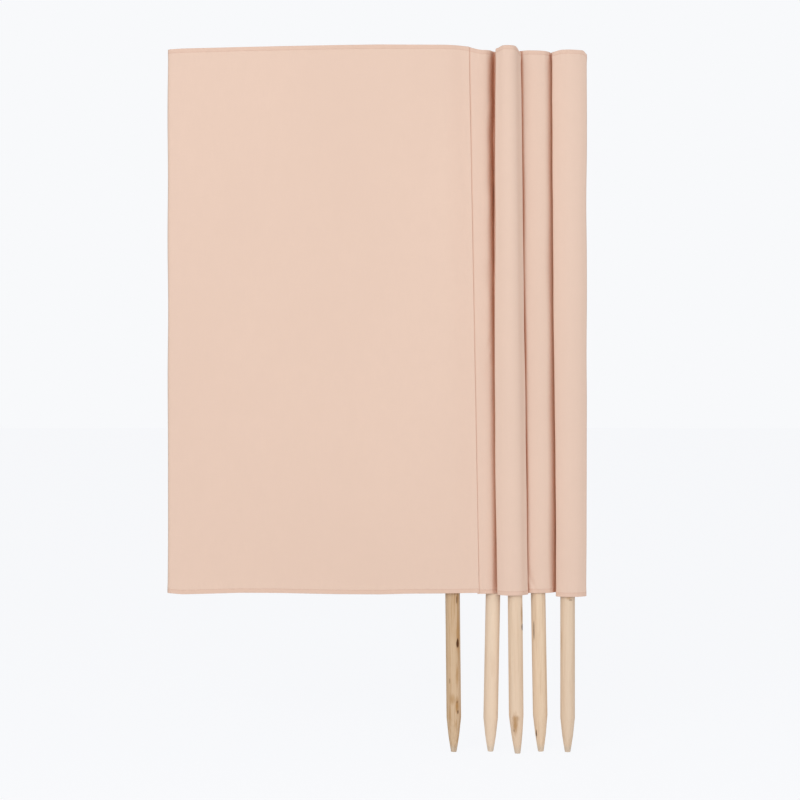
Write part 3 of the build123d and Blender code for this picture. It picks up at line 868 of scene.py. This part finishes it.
def stitch_tree():
    """Geometry nodes that set stitches along lines of edges, facing the way the lines say."""
    tree = bpy.data.node_groups.new("windbreak_stitches", "GeometryNodeTree")
    tree.is_modifier = True
    for name, kind in (("Geometry", "Geometry"), ("Stitch pitch", "Float"), ("Stitch length", "Float"),
                       ("Thread", "Float"), ("Thread material", "Material")):
        tree.interface.new_socket(name, in_out="INPUT", socket_type="NodeSocket" + kind)
    tree.interface.new_socket("Geometry", in_out="OUTPUT", socket_type="NodeSocketGeometry")
    node = {name: tree.nodes.new(kind) for name, kind in (
        ("entry", "NodeGroupInput"), ("leave", "NodeGroupOutput"), ("curve", "GeometryNodeMeshToCurve"),
        ("resample", "GeometryNodeResampleCurve"), ("sphere", "GeometryNodeMeshUVSphere"),
        ("size", "ShaderNodeCombineXYZ"), ("shape", "GeometryNodeTransform"),
        ("tangent", "GeometryNodeInputTangent"), ("facing", "GeometryNodeInputNamedAttribute"),
        ("turn", "FunctionNodeAxesToRotation"), ("place", "GeometryNodeInstanceOnPoints"),
        ("real", "GeometryNodeRealizeInstances"), ("soft", "GeometryNodeSetShadeSmooth"),
        ("paint", "GeometryNodeSetMaterial"))}
    node["resample"].mode = "LENGTH"
    fill(node["sphere"], {"Segments": 5, "Rings": 4, "Radius": 0.5})
    fill(node["shape"], {"Rotation": (0, math.pi / 2, 0)})
    node["facing"].data_type = "FLOAT_VECTOR"
    fill(node["facing"], {"Name": "facing"})
    node["turn"].primary_axis, node["turn"].secondary_axis = "X", "Z"
    for source, output, target, into in (
            ("entry", "Geometry", "curve", "Mesh"), ("curve", "Curve", "resample", "Curve"),
            ("entry", "Stitch pitch", "resample", "Length"), ("entry", "Thread", "size", "X"),
            ("entry", "Thread", "size", "Y"), ("entry", "Stitch length", "size", "Z"),
            ("sphere", "Mesh", "shape", "Geometry"), ("size", "Vector", "shape", "Scale"),
            ("tangent", "Tangent", "turn", "Primary Axis"),
            ("facing", "Attribute", "turn", "Secondary Axis"),
            ("resample", "Curve", "place", "Points"), ("shape", "Geometry", "place", "Instance"),
            ("turn", "Rotation", "place", "Rotation"), ("place", "Instances", "real", "Geometry"),
            ("real", "Geometry", "soft", "Geometry"), ("soft", "Geometry", "paint", "Geometry"),
            ("entry", "Thread material", "paint", "Material"), ("paint", "Geometry", "leave", "Geometry")):
        join(tree, (node[source].outputs[output], node[target].inputs[into]))
    return tree


def stitch_piece(name, lines, tree):
    """One mesh of stitches along several lines."""
    s = cloth_settings()
    verts, edges, facing = [], [], []
    for points, faces in lines:
        first = len(verts)
        verts.extend((points * MM).tolist())
        facing.extend(faces.tolist())
        edges.extend((first + i, first + i + 1) for i in range(len(points) - 1))
    mesh = bpy.data.meshes.new(name + "_lines")
    mesh.from_pydata(verts, edges, [])
    kept = mesh.attributes.new("facing", "FLOAT_VECTOR", "POINT")
    kept.data.foreach_set("vector", np.array(facing, np.float32).ravel())
    source = add_object(name + "_source", mesh)
    sewing = source.modifiers.new("Stitches", "NODES")
    sewing.node_group = tree
    values = {"Stitch pitch": s.stitch_pitch, "Stitch length": s.stitch_length, "Thread": s.thread,
              "Thread material": bpy.data.materials["windbreak_thread"]}
    for item in tree.interface.items_tree:
        if item.in_out == "INPUT" and item.name in values:
            sewing[item.identifier] = values[item.name]
    made = bpy.data.meshes.new_from_object(source.evaluated_get(bpy.context.evaluated_depsgraph_get()))
    made.name = name
    piece = add_object(name, made)
    bpy.data.objects.remove(source)
    if not made.polygons:
        raise RuntimeError(f"{name} has no stitches")
    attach(piece, "root")


# Materials

def new_group(name, inputs, outputs):
    group = bpy.data.node_groups.new(name, "ShaderNodeTree")
    for label, kind, value in inputs:
        socket = group.interface.new_socket(label, in_out="INPUT", socket_type="NodeSocket" + kind)
        if value is not None:
            socket.default_value = value
    for label in outputs:
        group.interface.new_socket(label, in_out="OUTPUT", socket_type="NodeSocketFloat")
    return group, group.nodes.new("NodeGroupInput"), group.nodes.new("NodeGroupOutput")


def new_material(name):
    material = bpy.data.materials.new(name)
    material.use_nodes = True
    return material, material.node_tree, material.node_tree.nodes["Principled BSDF"]


def use_group(tree, name, vector, values):
    """A node that uses a group, and its outputs."""
    node = tree.nodes.new("ShaderNodeGroup")
    node.node_tree = bpy.data.node_groups[name]
    tree.links.new(vector, node.inputs["Vector"])
    fill(node, values)
    return node.outputs


def maths(tree, kind, a, b=None):
    """A maths node between sockets or numbers, and its result."""
    node = tree.nodes.new("ShaderNodeMath")
    node.operation = kind
    for socket, value in ((node.inputs[0], a), (node.inputs[1], b)):
        if isinstance(value, (int, float)):
            socket.default_value = value
        elif value is not None:
            tree.links.new(value, socket)
    return node.outputs[0]


def vector_maths(tree, kind, a, b=None, result="Vector"):
    node = tree.nodes.new("ShaderNodeVectorMath")
    node.operation = kind
    tree.links.new(a, node.inputs[0])
    if b is not None:
        tree.links.new(b, node.inputs[1])
    return node.outputs[result]


def split(tree, vector):
    """The x, y and z of a vector."""
    node = tree.nodes.new("ShaderNodeSeparateXYZ")
    tree.links.new(vector, node.inputs[0])
    return node.outputs


def mix_colour(tree, share, first, second, blend="MIX"):
    node = tree.nodes.new("ShaderNodeMix")
    node.data_type = "RGBA"
    node.blend_type = blend
    tree.links.new(share, node.inputs[0])
    for socket, value in ((node.inputs[6], first), (node.inputs[7], second)):
        if isinstance(value, bpy.types.NodeSocket):
            tree.links.new(value, socket)
        else:
            socket.default_value = (*value, 1.0)
    return node.outputs[2]


def noise(tree, vector, size, detail, rough=0.5, place=(0, 0, 0)):
    """Soft noise over a vector that is scaled and moved first."""
    node = tree.nodes.new("ShaderNodeTexNoise")
    fill(node, {"Scale": 1.0, "Detail": detail, "Roughness": rough, "Lacunarity": 2.0})
    tree.links.new(mapped(tree, vector, place, size=size), node.inputs["Vector"])
    return node.outputs["Fac"]


def mapped(tree, vector, place, turn=(0, 0, 0), size=(1, 1, 1)):
    node = tree.nodes.new("ShaderNodeMapping")
    fill(node, {"Location": place, "Rotation": turn, "Scale": size})
    tree.links.new(vector, node.inputs["Vector"])
    return node.outputs["Vector"]


def value_ramp(tree, value, low, high, out_low=0.0, out_high=1.0):
    node = tree.nodes.new("ShaderNodeMapRange")
    fill(node, {"From Min": low, "From Max": high, "To Min": out_low, "To Max": out_high})
    node.interpolation_type = "SMOOTHSTEP"
    tree.links.new(value, node.inputs["Value"])
    return node.outputs["Result"]


def bump(tree, height, strength, distance, normal=None):
    node = tree.nodes.new("ShaderNodeBump")
    fill(node, {"Strength": strength, "Distance": distance})
    tree.links.new(height, node.inputs["Height"])
    if normal is not None:
        tree.links.new(normal, node.inputs["Normal"])
    return node.outputs["Normal"]


def tinted(colour, share):
    """A colour made darker or paler, and no paler than white."""
    return tuple(min(1, c * share) for c in colour)


def weave_group():
    """A plain weave: warp and weft threads that pass over and under each other, with uneven yarn."""
    group, entry, leave = new_group(
        "windbreak_weave", [("Vector", "Vector", None), ("Threads per metre", "Float", 2300.0),
                            ("Unevenness", "Float", 0.35)], ["Height", "Yarn"])
    place, waves = split(group, entry.outputs["Vector"]), []
    for axis in ("X", "Y"):
        count = maths(group, "MULTIPLY", place[axis], entry.outputs["Threads per metre"])
        waves.append(maths(group, "SINE", maths(group, "MULTIPLY", count, math.pi)))
    share = value_ramp(group, maths(group, "MULTIPLY", *waves), -0.25, 0.25)
    warp, weft = (maths(group, "ABSOLUTE", wave) for wave in waves)
    height = maths(group, "ADD", maths(group, "MULTIPLY", warp, share),
                   maths(group, "MULTIPLY", weft, maths(group, "SUBTRACT", 1.0, share)))
    slubs = [noise(group, entry.outputs["Vector"], size, 2.0) for size in ((900, 28, 1), (28, 900, 1))]
    yarn = maths(group, "MULTIPLY", maths(group, "ADD", *slubs), 0.5)
    uneven = maths(group, "MULTIPLY", yarn, entry.outputs["Unevenness"])
    join(group, (maths(group, "ADD", height, uneven), leave.inputs["Height"]), (yarn, leave.inputs["Yarn"]))


# The tint of the most shaded cloth; doubled cloth and stitched lines take a share of it
SHADE_TINT = (0.80, 0.58, 0.50)
# Painted shade in crevices, tinted as cloth colours the light between two walls of cloth: the two tints that
# darken the cloth's colour, how close the walls then are, and how open the cloth is where each tint is full
# and where it ends
CREVICE_SHADE_TINT = (0.81, 0.54, 0.41)
DEEP_SHADE_TINT = (0.78, 0.63, 0.56)
CREVICE_REACH = 0.028
CREVICE_OPEN, DEEP_OPEN = (0.18, 0.78), (0.02, 0.20)


def make_cloth_material():
    colour = cloth_settings().colour
    _, tree, shader = new_material("windbreak_cloth")
    measured = tree.nodes.new("ShaderNodeUVMap")
    measured.uv_map = "cloth_measure"
    place = tree.nodes.new("ShaderNodeTexCoord").outputs["Object"]
    weave = use_group(tree, "windbreak_weave", measured.outputs["UV"], {})
    cloud = noise(tree, place, (3.2, 3.2, 2.2), 3.0, 0.45)
    fine = noise(tree, place, (55, 55, 40), 3.0, 0.6, (4, 2, 1))
    cloud = value_ramp(tree, cloud, 0.35, 0.65)
    base = mix_colour(tree, cloud, tinted(colour, 0.985), tinted(colour, 1.008))
    base = mix_colour(tree, value_ramp(tree, fine, 0.3, 0.7, 0.0, 0.35), base, tinted(colour, 0.975))
    yarn = value_ramp(tree, weave["Yarn"], 0.35, 0.65, 0.0, 0.25)
    base = mix_colour(tree, yarn, base, tinted(colour, 0.95))
    shade = tree.nodes.new("ShaderNodeAttribute")
    shade.attribute_name = "shade"
    base = mix_colour(tree, shade.outputs["Fac"], base, SHADE_TINT, "MULTIPLY")
    # Painted shade: ambient occlusion darkens and warms the base colour where walls of cloth lie close
    # together
    shade_occlusion = tree.nodes.new("ShaderNodeAmbientOcclusion")
    shade_occlusion.samples = 4
    fill(shade_occlusion, {"Distance": CREVICE_REACH})
    for tint, between in ((CREVICE_SHADE_TINT, CREVICE_OPEN), (DEEP_SHADE_TINT, DEEP_OPEN)):
        share = value_ramp(tree, shade_occlusion.outputs["AO"], *between, 1.0, 0.0)
        base = mix_colour(tree, share, base, tint, "MULTIPLY")
    fill(shader, {"Specular IOR Level": 0.22, "Sheen Weight": 0.05, "Sheen Roughness": 0.45,
                  "Sheen Tint": (1.0, 0.88, 0.80, 1.0)})
    soft = bump(tree, noise(tree, place, (34, 34, 22), 2.0, 0.5, (1, 5, 3)), 0.35, 0.0006)
    join(tree, (base, shader.inputs["Base Color"]),
         (value_ramp(tree, fine, 0.3, 0.7, 0.74, 0.84), shader.inputs["Roughness"]),
         (bump(tree, weave["Height"], 0.25, 0.00006, soft), shader.inputs["Normal"]))


def make_thread_material():
    colour = cloth_settings().thread_colour
    _, tree, shader = new_material("windbreak_thread")
    place = tree.nodes.new("ShaderNodeTexCoord").outputs["Object"]
    twist = noise(tree, place, (1800, 1800, 1800), 1.0)
    base = mix_colour(tree, twist, tinted(colour, 0.9), tinted(colour, 1.08))
    join(tree, (base, shader.inputs["Base Color"]),
         (value_ramp(tree, twist, 0.3, 0.7, 0.5, 0.65), shader.inputs["Roughness"]))


# The heart of the wood beside the middle of each pole, and how far the rings wander from circles
HEART = (0.019, 0.011)
RING_WANDER = 7.0


def grain_group():
    """Long grain of a turned pole: growth rings cut lengthwise, fine pores, soft tones and streaks."""
    group, entry, leave = new_group(
        "windbreak_grain", [("Vector", "Vector", None), ("Rings", "Float", 520.0), ("Seed", "Float", 0.0)],
        ["Grain", "Pores", "Tone", "Streaks"])
    seed = group.nodes.new("ShaderNodeCombineXYZ")
    join(group, (entry.outputs["Seed"], seed.inputs["X"]), (entry.outputs["Seed"], seed.inputs["Z"]))
    moved = vector_maths(group, "ADD", entry.outputs["Vector"], seed.outputs["Vector"])
    warp = noise(group, moved, (30, 30, 2.6), 3.0, 0.55)
    place = split(group, entry.outputs["Vector"])
    squares = []
    for axis, off in zip("XY", HEART):
        side = maths(group, "ADD", place[axis], off)
        squares.append(maths(group, "MULTIPLY", side, side))
    far = maths(group, "SQRT", maths(group, "ADD", *squares))
    ring = maths(group, "ADD", maths(group, "MULTIPLY", far, entry.outputs["Rings"]),
                 maths(group, "MULTIPLY", warp, RING_WANDER))
    join(group, (maths(group, "POWER", maths(group, "FRACT", ring), 3.0), leave.inputs["Grain"]),
         (noise(group, moved, (1300, 1300, 26), 2.0, 0.6), leave.inputs["Pores"]),
         (noise(group, moved, (60, 60, 3.5), 3.0, 0.5, (3, 1, 2)), leave.inputs["Tone"]),
         (noise(group, moved, (210, 210, 7), 4.0, 0.6, (7, 2, 5)), leave.inputs["Streaks"]))


def mark_group():
    """A soft-edged mark at a point of the surface, such as a knot, a streak or a stain."""
    group, entry, leave = new_group(
        "windbreak_mark", [("Vector", "Vector", None), ("Centre", "Vector", None), ("Size", "Vector", None),
                           ("Ragged", "Float", 0.5), ("Core", "Float", 0.6)], ["Mask"])
    place = entry.outputs["Vector"]
    away = vector_maths(group, "SUBTRACT", place, entry.outputs["Centre"])
    scaled = vector_maths(group, "DIVIDE", away, entry.outputs["Size"])
    far = vector_maths(group, "LENGTH", scaled, result="Value")
    grainy = noise(group, place, (700, 700, 90), 3.0, 0.6)
    ragged = maths(group, "MULTIPLY", maths(group, "SUBTRACT", grainy, 0.5), entry.outputs["Ragged"])
    mask = value_ramp(group, maths(group, "ADD", far, ragged), 1.0, 0.6)
    join(group, (entry.outputs["Core"], mask.node.inputs["From Max"]), (mask, leave.inputs["Mask"]))


# Each pole's share of the wood's colour, and how strongly its grain and its streaks show
POLE_TONE = {1: ((0.965, 0.965, 0.965), 0.30, 0.20), 2: ((1.05, 1.06, 1.05), 0.45, 0.30),
             3: ((0.995, 0.985, 0.98), 0.30, 0.18), 4: ((1.045, 1.06, 1.08), 0.24, 0.12),
             5: ((0.87, 0.825, 0.735), 0.85, 1.0)}
# Marks in the wood of each pole: place, size and depth of colour, in metres; a knot is dark, a stain brown
POLE_MARKS = {
    # The first stain and the knot of pole 1 are a dark spot on the pole just below the hem of pocket 1
    1: [("stain", (0.0010, -0.0125, 0.2660), (0.0085, 0.0060, 0.0050), 0.55),
        ("stain", (-0.0110, -0.0060, 0.1950), (0.0014, 0.0060, 0.0300), 0.40),
        ("knot", (0.0043, -0.0117, 0.2620), (0.0036, 0.0050, 0.0026), 0.38)],
    2: [("stain", (-0.0470, -0.0080, 0.1250), (0.0030, 0.0060, 0.0500), 0.22),
        ("knot", (-0.0585, -0.0050, 0.2080), (0.0011, 0.0050, 0.0210), 0.70),
        ("knot", (-0.0540, -0.0030, 0.0290), (0.0014, 0.0050, 0.0120), 0.80)],
    3: [("stain", (-0.0800, -0.0195, 0.2380), (0.0032, 0.0080, 0.0260), 0.90),
        ("stain", (-0.0920, -0.0225, 0.0500), (0.0072, 0.0070, 0.0280), 0.85),
        ("stain", (-0.0900, -0.0225, 0.0620), (0.0085, 0.0070, 0.0070), 0.55),
        ("knot", (-0.0797, -0.0195, 0.2170), (0.0018, 0.0060, 0.0070), 0.85),
        ("knot", (-0.0935, -0.0225, 0.0400), (0.0014, 0.0050, 0.0036), 0.45)],
    4: [("stain", (-0.1300, -0.0080, 0.1500), (0.0050, 0.0050, 0.0300), 0.12)],
    # The stain at 0.265 m and the knot at 0.262 m of pole 5 are dark marks on the pole just below the hem of
    # pocket 5
    5: [("stain", (-0.1893, -0.0090, 0.2000), (0.0042, 0.0060, 0.0400), 0.80),
        ("stain", (-0.1905, -0.0100, 0.0810), (0.0050, 0.0060, 0.0200), 1.0),
        ("stain", (-0.1900, -0.0080, 0.2650), (0.0040, 0.0060, 0.0180), 0.80),
        ("stain", (-0.1905, -0.0095, 0.1330), (0.0034, 0.0060, 0.0320), 0.70),
        ("stain", (-0.1990, -0.0105, 0.0920), (0.0070, 0.0060, 0.0140), 0.60),
        ("knot", (-0.1897, -0.0087, 0.1883), (0.0027, 0.0070, 0.0090), 1.0),
        ("knot", (-0.1890, -0.0090, 0.0700), (0.0015, 0.0050, 0.0040), 0.80),
        ("knot", (-0.1905, -0.0095, 0.0870), (0.0012, 0.0050, 0.0030), 0.60),
        ("knot", (-0.1910, -0.0085, 0.2620), (0.0016, 0.0050, 0.0080), 0.60),
        ("knot", (-0.2030, -0.0095, 0.1230), (0.0013, 0.0050, 0.0056), 0.40)],
}
# The solid middle of a knot and of a stain as a share of its size, and how ragged their edges are
MARK_CORE = {"knot": 0.62, "stain": 0.1}
MARK_RAGGED = 0.9
# The weathered tips: how high they reach in metres, how grey they are and their colour
TIP_REACH = 0.016
TIP_SHARE = 0.35
TIP_COLOUR = (0.60, 0.56, 0.50)


def make_wood_material(number):
    wood = bpy.context.scene.windbreak_wood
    tone, strength, streaky = POLE_TONE[number]
    _, tree, shader = new_material(f"windbreak_wood_{number}")
    place = tree.nodes.new("ShaderNodeTexCoord").outputs["Object"]
    foot, lean = POLE_FEET[number - 1], POLE_LEANS[number - 1]
    own = mapped(tree, place, (-foot[0] * MM, -foot[1] * MM, 0),
                 turn=(lean[1] / POLE_LENGTH, -lean[0] / POLE_LENGTH, 0))
    grain = use_group(tree, "windbreak_grain", own, {"Seed": 0.37 * number})
    pale = tuple(min(1, c * t) for c, t in zip(wood.pale, tone))
    dark = tuple(c * t for c, t in zip(wood.grain, tone))
    middle = tuple(lerp(a, b, 0.55) for a, b in zip(pale, dark))
    brown = tuple(lerp(a, b, 0.6) for a, b in zip(dark, wood.stain))
    colour = pale
    for output, low, high, share, paint in (
            ("Grain", 0.0, 1.0, strength, dark), ("Tone", 0.35, 0.7, strength * 0.8, middle),
            ("Pores", 0.48, 0.72, strength * 0.6, dark), ("Streaks", 0.46, 0.70, streaky, brown)):
        colour = mix_colour(tree, value_ramp(tree, grain[output], low, high, 0.0, share), colour, paint)
    for kind, centre, size, depth in POLE_MARKS[number]:
        mark = use_group(tree, "windbreak_mark", place, {
            "Centre": centre, "Size": size, "Ragged": MARK_RAGGED, "Core": MARK_CORE[kind]})
        share = maths(tree, "MULTIPLY", mark["Mask"], depth)
        colour = mix_colour(tree, share, colour, tuple(getattr(wood, kind)))
    tip = value_ramp(tree, split(tree, place)["Z"], TIP_REACH, TIP_REACH / 3, 0.0, TIP_SHARE)
    fibres = maths(tree, "SUBTRACT", grain["Pores"], maths(tree, "MULTIPLY", grain["Grain"], 0.3))
    fill(shader, {"Specular IOR Level": 0.16})
    join(tree, (mix_colour(tree, tip, colour, TIP_COLOUR), shader.inputs["Base Color"]),
         (value_ramp(tree, grain["Pores"], 0.3, 0.7, 0.62, 0.78), shader.inputs["Roughness"]),
         (bump(tree, fibres, 0.35, 0.00025), shader.inputs["Normal"]))


# Studio

# The colour of the lamps and of the light from all sides
LAMP_COLOUR = (1.0, 0.985, 0.965)
# Half the floor's width and its height, its colour, and the glow that the camera sees in its place
FLOOR_HALF, FLOOR_LOW = 30.0, -0.0006
FLOOR_COLOUR = (0.86, 0.865, 0.875, 1)
GLOW_COLOUR, GLOW_STRENGTH, GLOW_SHARE = (0.957, 0.968, 0.992, 1), 1.03, 0.88
# The point that the lamps face, their places, power as a share of the key lamp's, and width
AIM = Vector((-0.29, 0.0, 0.62))
LAMPS = {"key": ((-1.7, -3.4, 1.9), 1), "front": ((1.5, -3.4, 1.1), 0.62)}
LAMP_WIDTH = 2.8
# The middle of the picture, its width at the poles, and the width of the camera's sensor in millimetres
PICTURE_X, PICTURE_Z = -0.2883, 0.6046
PICTURE_WIDTH = 1.376
SENSOR = 36.0


def choose_shader(tree, share, first, second, output):
    """Sends a mix of two shaders to an output node."""
    mix = tree.nodes.new("ShaderNodeMixShader")
    join(tree, (share, mix.inputs[0]), (first.outputs[0], mix.inputs[1]), (second.outputs[0], mix.inputs[2]),
         (mix.outputs[0], tree.nodes[output].inputs[0]))


def camera_ray(tree):
    return tree.nodes.new("ShaderNodeLightPath").outputs["Is Camera Ray"]


def make_world(settings):
    world = bpy.data.worlds.new("windbreak_sky")
    bpy.context.scene.world = world
    world.use_nodes = True
    tree = world.node_tree
    light, seen = tree.nodes["Background"], tree.nodes.new("ShaderNodeBackground")
    fill(light, {"Color": (*LAMP_COLOUR, 1), "Strength": settings.sky})
    fill(seen, {"Color": (*settings.backdrop, 1), "Strength": 1.0})
    choose_shader(tree, camera_ray(tree), light, seen, "World Output")


def make_floor():
    mesh = bpy.data.meshes.new("studio_floor")
    corners = [(x * FLOOR_HALF, y * FLOOR_HALF, FLOOR_LOW) for x, y in ((-1, -1), (1, -1), (1, 1), (-1, 1))]
    mesh.from_pydata(corners, [], [(0, 1, 2, 3)])
    pale, tree, shader = new_material("studio_floor")
    fill(shader, {"Base Color": FLOOR_COLOUR, "Roughness": 0.9, "Specular IOR Level": 0.0})
    glow = tree.nodes.new("ShaderNodeEmission")
    fill(glow, {"Color": GLOW_COLOUR, "Strength": GLOW_STRENGTH})
    share = maths(tree, "MULTIPLY", camera_ray(tree), GLOW_SHARE)
    choose_shader(tree, share, shader, glow, "Material Output")
    mesh.materials.append(pale)
    floor = add_object("studio_floor", mesh)


def make_lamps(settings):
    for name, (place, share) in LAMPS.items():
        lamp = bpy.data.lights.new(f"windbreak_{name}", "AREA")
        lamp.energy = settings.key * share
        lamp.shape = "DISK"
        lamp.size = LAMP_WIDTH
        lamp.color = LAMP_COLOUR
        holder = add_object(f"windbreak_{name}", lamp)
        holder.location = place
        holder.rotation_mode = "QUATERNION"
        holder.rotation_quaternion = (AIM - Vector(place)).to_track_quat("-Z", "Y")


def make_camera(settings):
    eye = bpy.data.cameras.new("windbreak_camera")
    eye.sensor_width = SENSOR
    eye.lens = SENSOR * settings.distance / PICTURE_WIDTH
    eye.clip_end = 100.0
    camera = add_object("windbreak_camera", eye)
    camera.location = (PICTURE_X, -settings.distance, PICTURE_Z)
    camera.rotation_euler = (math.pi / 2, 0, 0)
    bpy.context.scene.camera = camera


# Operators

class WINDBREAK_OT_materials(bpy.types.Operator):
    """Make the cloth, the thread and the wood of each pole"""
    bl_idname = "windbreak.materials"
    bl_label = "Materials"

    def execute(self, context):
        weave_group()
        grain_group()
        mark_group()
        make_cloth_material()
        make_thread_material()
        for number in POLES:
            make_wood_material(number)
        return {"FINISHED"}


class WINDBREAK_OT_poles(bpy.types.Operator):
    """Give the five poles of the frame their wood"""
    bl_idname = "windbreak.poles"
    bl_label = "Poles"

    def execute(self, context):
        for number in POLES:
            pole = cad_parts[f"pole_{number}"]
            wood = bpy.data.materials[f"windbreak_wood_{number}"]
            if not pole.material_slots:
                pole.data.materials.append(wood)
            for slot in pole.material_slots:
                slot.material = wood
        return {"FINISHED"}


class WINDBREAK_OT_bays(bpy.types.Operator):
    """Sew the four bays that fold to the left"""
    bl_idname = "windbreak.bays"
    bl_label = "Bays"

    def execute(self, context):
        for number in BAYS:
            bay_sheet(number)
        return {"FINISHED"}


class WINDBREAK_OT_pockets(bpy.types.Operator):
    """Sew the five pockets and the seams that hold them"""
    bl_idname = "windbreak.pockets"
    bl_label = "Pockets and seams"

    def execute(self, context):
        for number in POLES:
            pocket_sheet(number)
            seam_sheet(number)
        return {"FINISHED"}


class WINDBREAK_OT_stitches(bpy.types.Operator):
    """Run the stitching along the hems and seams"""
    bl_idname = "windbreak.stitches"
    bl_label = "Stitches"

    def execute(self, context):
        tree = stitch_tree()
        for group, lines in STITCH_LINES.items():
            stitch_piece(f"{group}_stitches", lines, tree)
        return {"FINISHED"}


class WINDBREAK_OT_studio(bpy.types.Operator):
    """Set up the floor, the lights and the camera"""
    bl_idname = "windbreak.studio"
    bl_label = "Studio"

    def execute(self, context):
        settings = context.scene.windbreak_studio
        context.scene.view_settings.view_transform = "Standard"
        make_world(settings)
        make_floor()
        make_lamps(settings)
        make_camera(settings)
        return {"FINISHED"}


class WINDBREAK_PT_panel(bpy.types.Panel):
    """Lists the steps that build the windbreak"""
    bl_idname = "WINDBREAK_PT_panel"
    bl_label = "Gathered windbreak"
    bl_space_type = "VIEW_3D"
    bl_region_type = "UI"
    bl_category = "Windbreak"

    def draw(self, context):
        for step in STEPS:
            self.layout.operator(step.bl_idname)
        for name in SETTINGS:
            group = getattr(context.scene, name)
            for key in group.bl_rna.properties.keys():
                if key not in ("rna_type", "name"):
                    self.layout.prop(group, key)


SETTINGS = {"windbreak_cloth": WindbreakCloth, "windbreak_wood": WindbreakWood,
            "windbreak_studio": WindbreakStudio}
STEPS = (WINDBREAK_OT_materials, WINDBREAK_OT_poles, WINDBREAK_OT_bays, WINDBREAK_OT_pockets,
         WINDBREAK_OT_stitches, WINDBREAK_OT_studio)
CLASSES = tuple(SETTINGS.values()) + STEPS + (WINDBREAK_PT_panel,)


def register():
    for kind in CLASSES:
        bpy.utils.register_class(kind)
    for name, kind in SETTINGS.items():
        setattr(bpy.types.Scene, name, bpy.props.PointerProperty(type=kind))


def unregister():
    for name in SETTINGS:
        delattr(bpy.types.Scene, name)
    for kind in reversed(CLASSES):
        bpy.utils.unregister_class(kind)


def main():
    register()
    windbreak = bpy.ops.windbreak
    for step in (windbreak.materials, windbreak.poles, windbreak.bays, windbreak.pockets, windbreak.stitches,
                 windbreak.studio):
        step()
    bpy.context.view_layer.update()


if __name__ == "__main__":
    main()
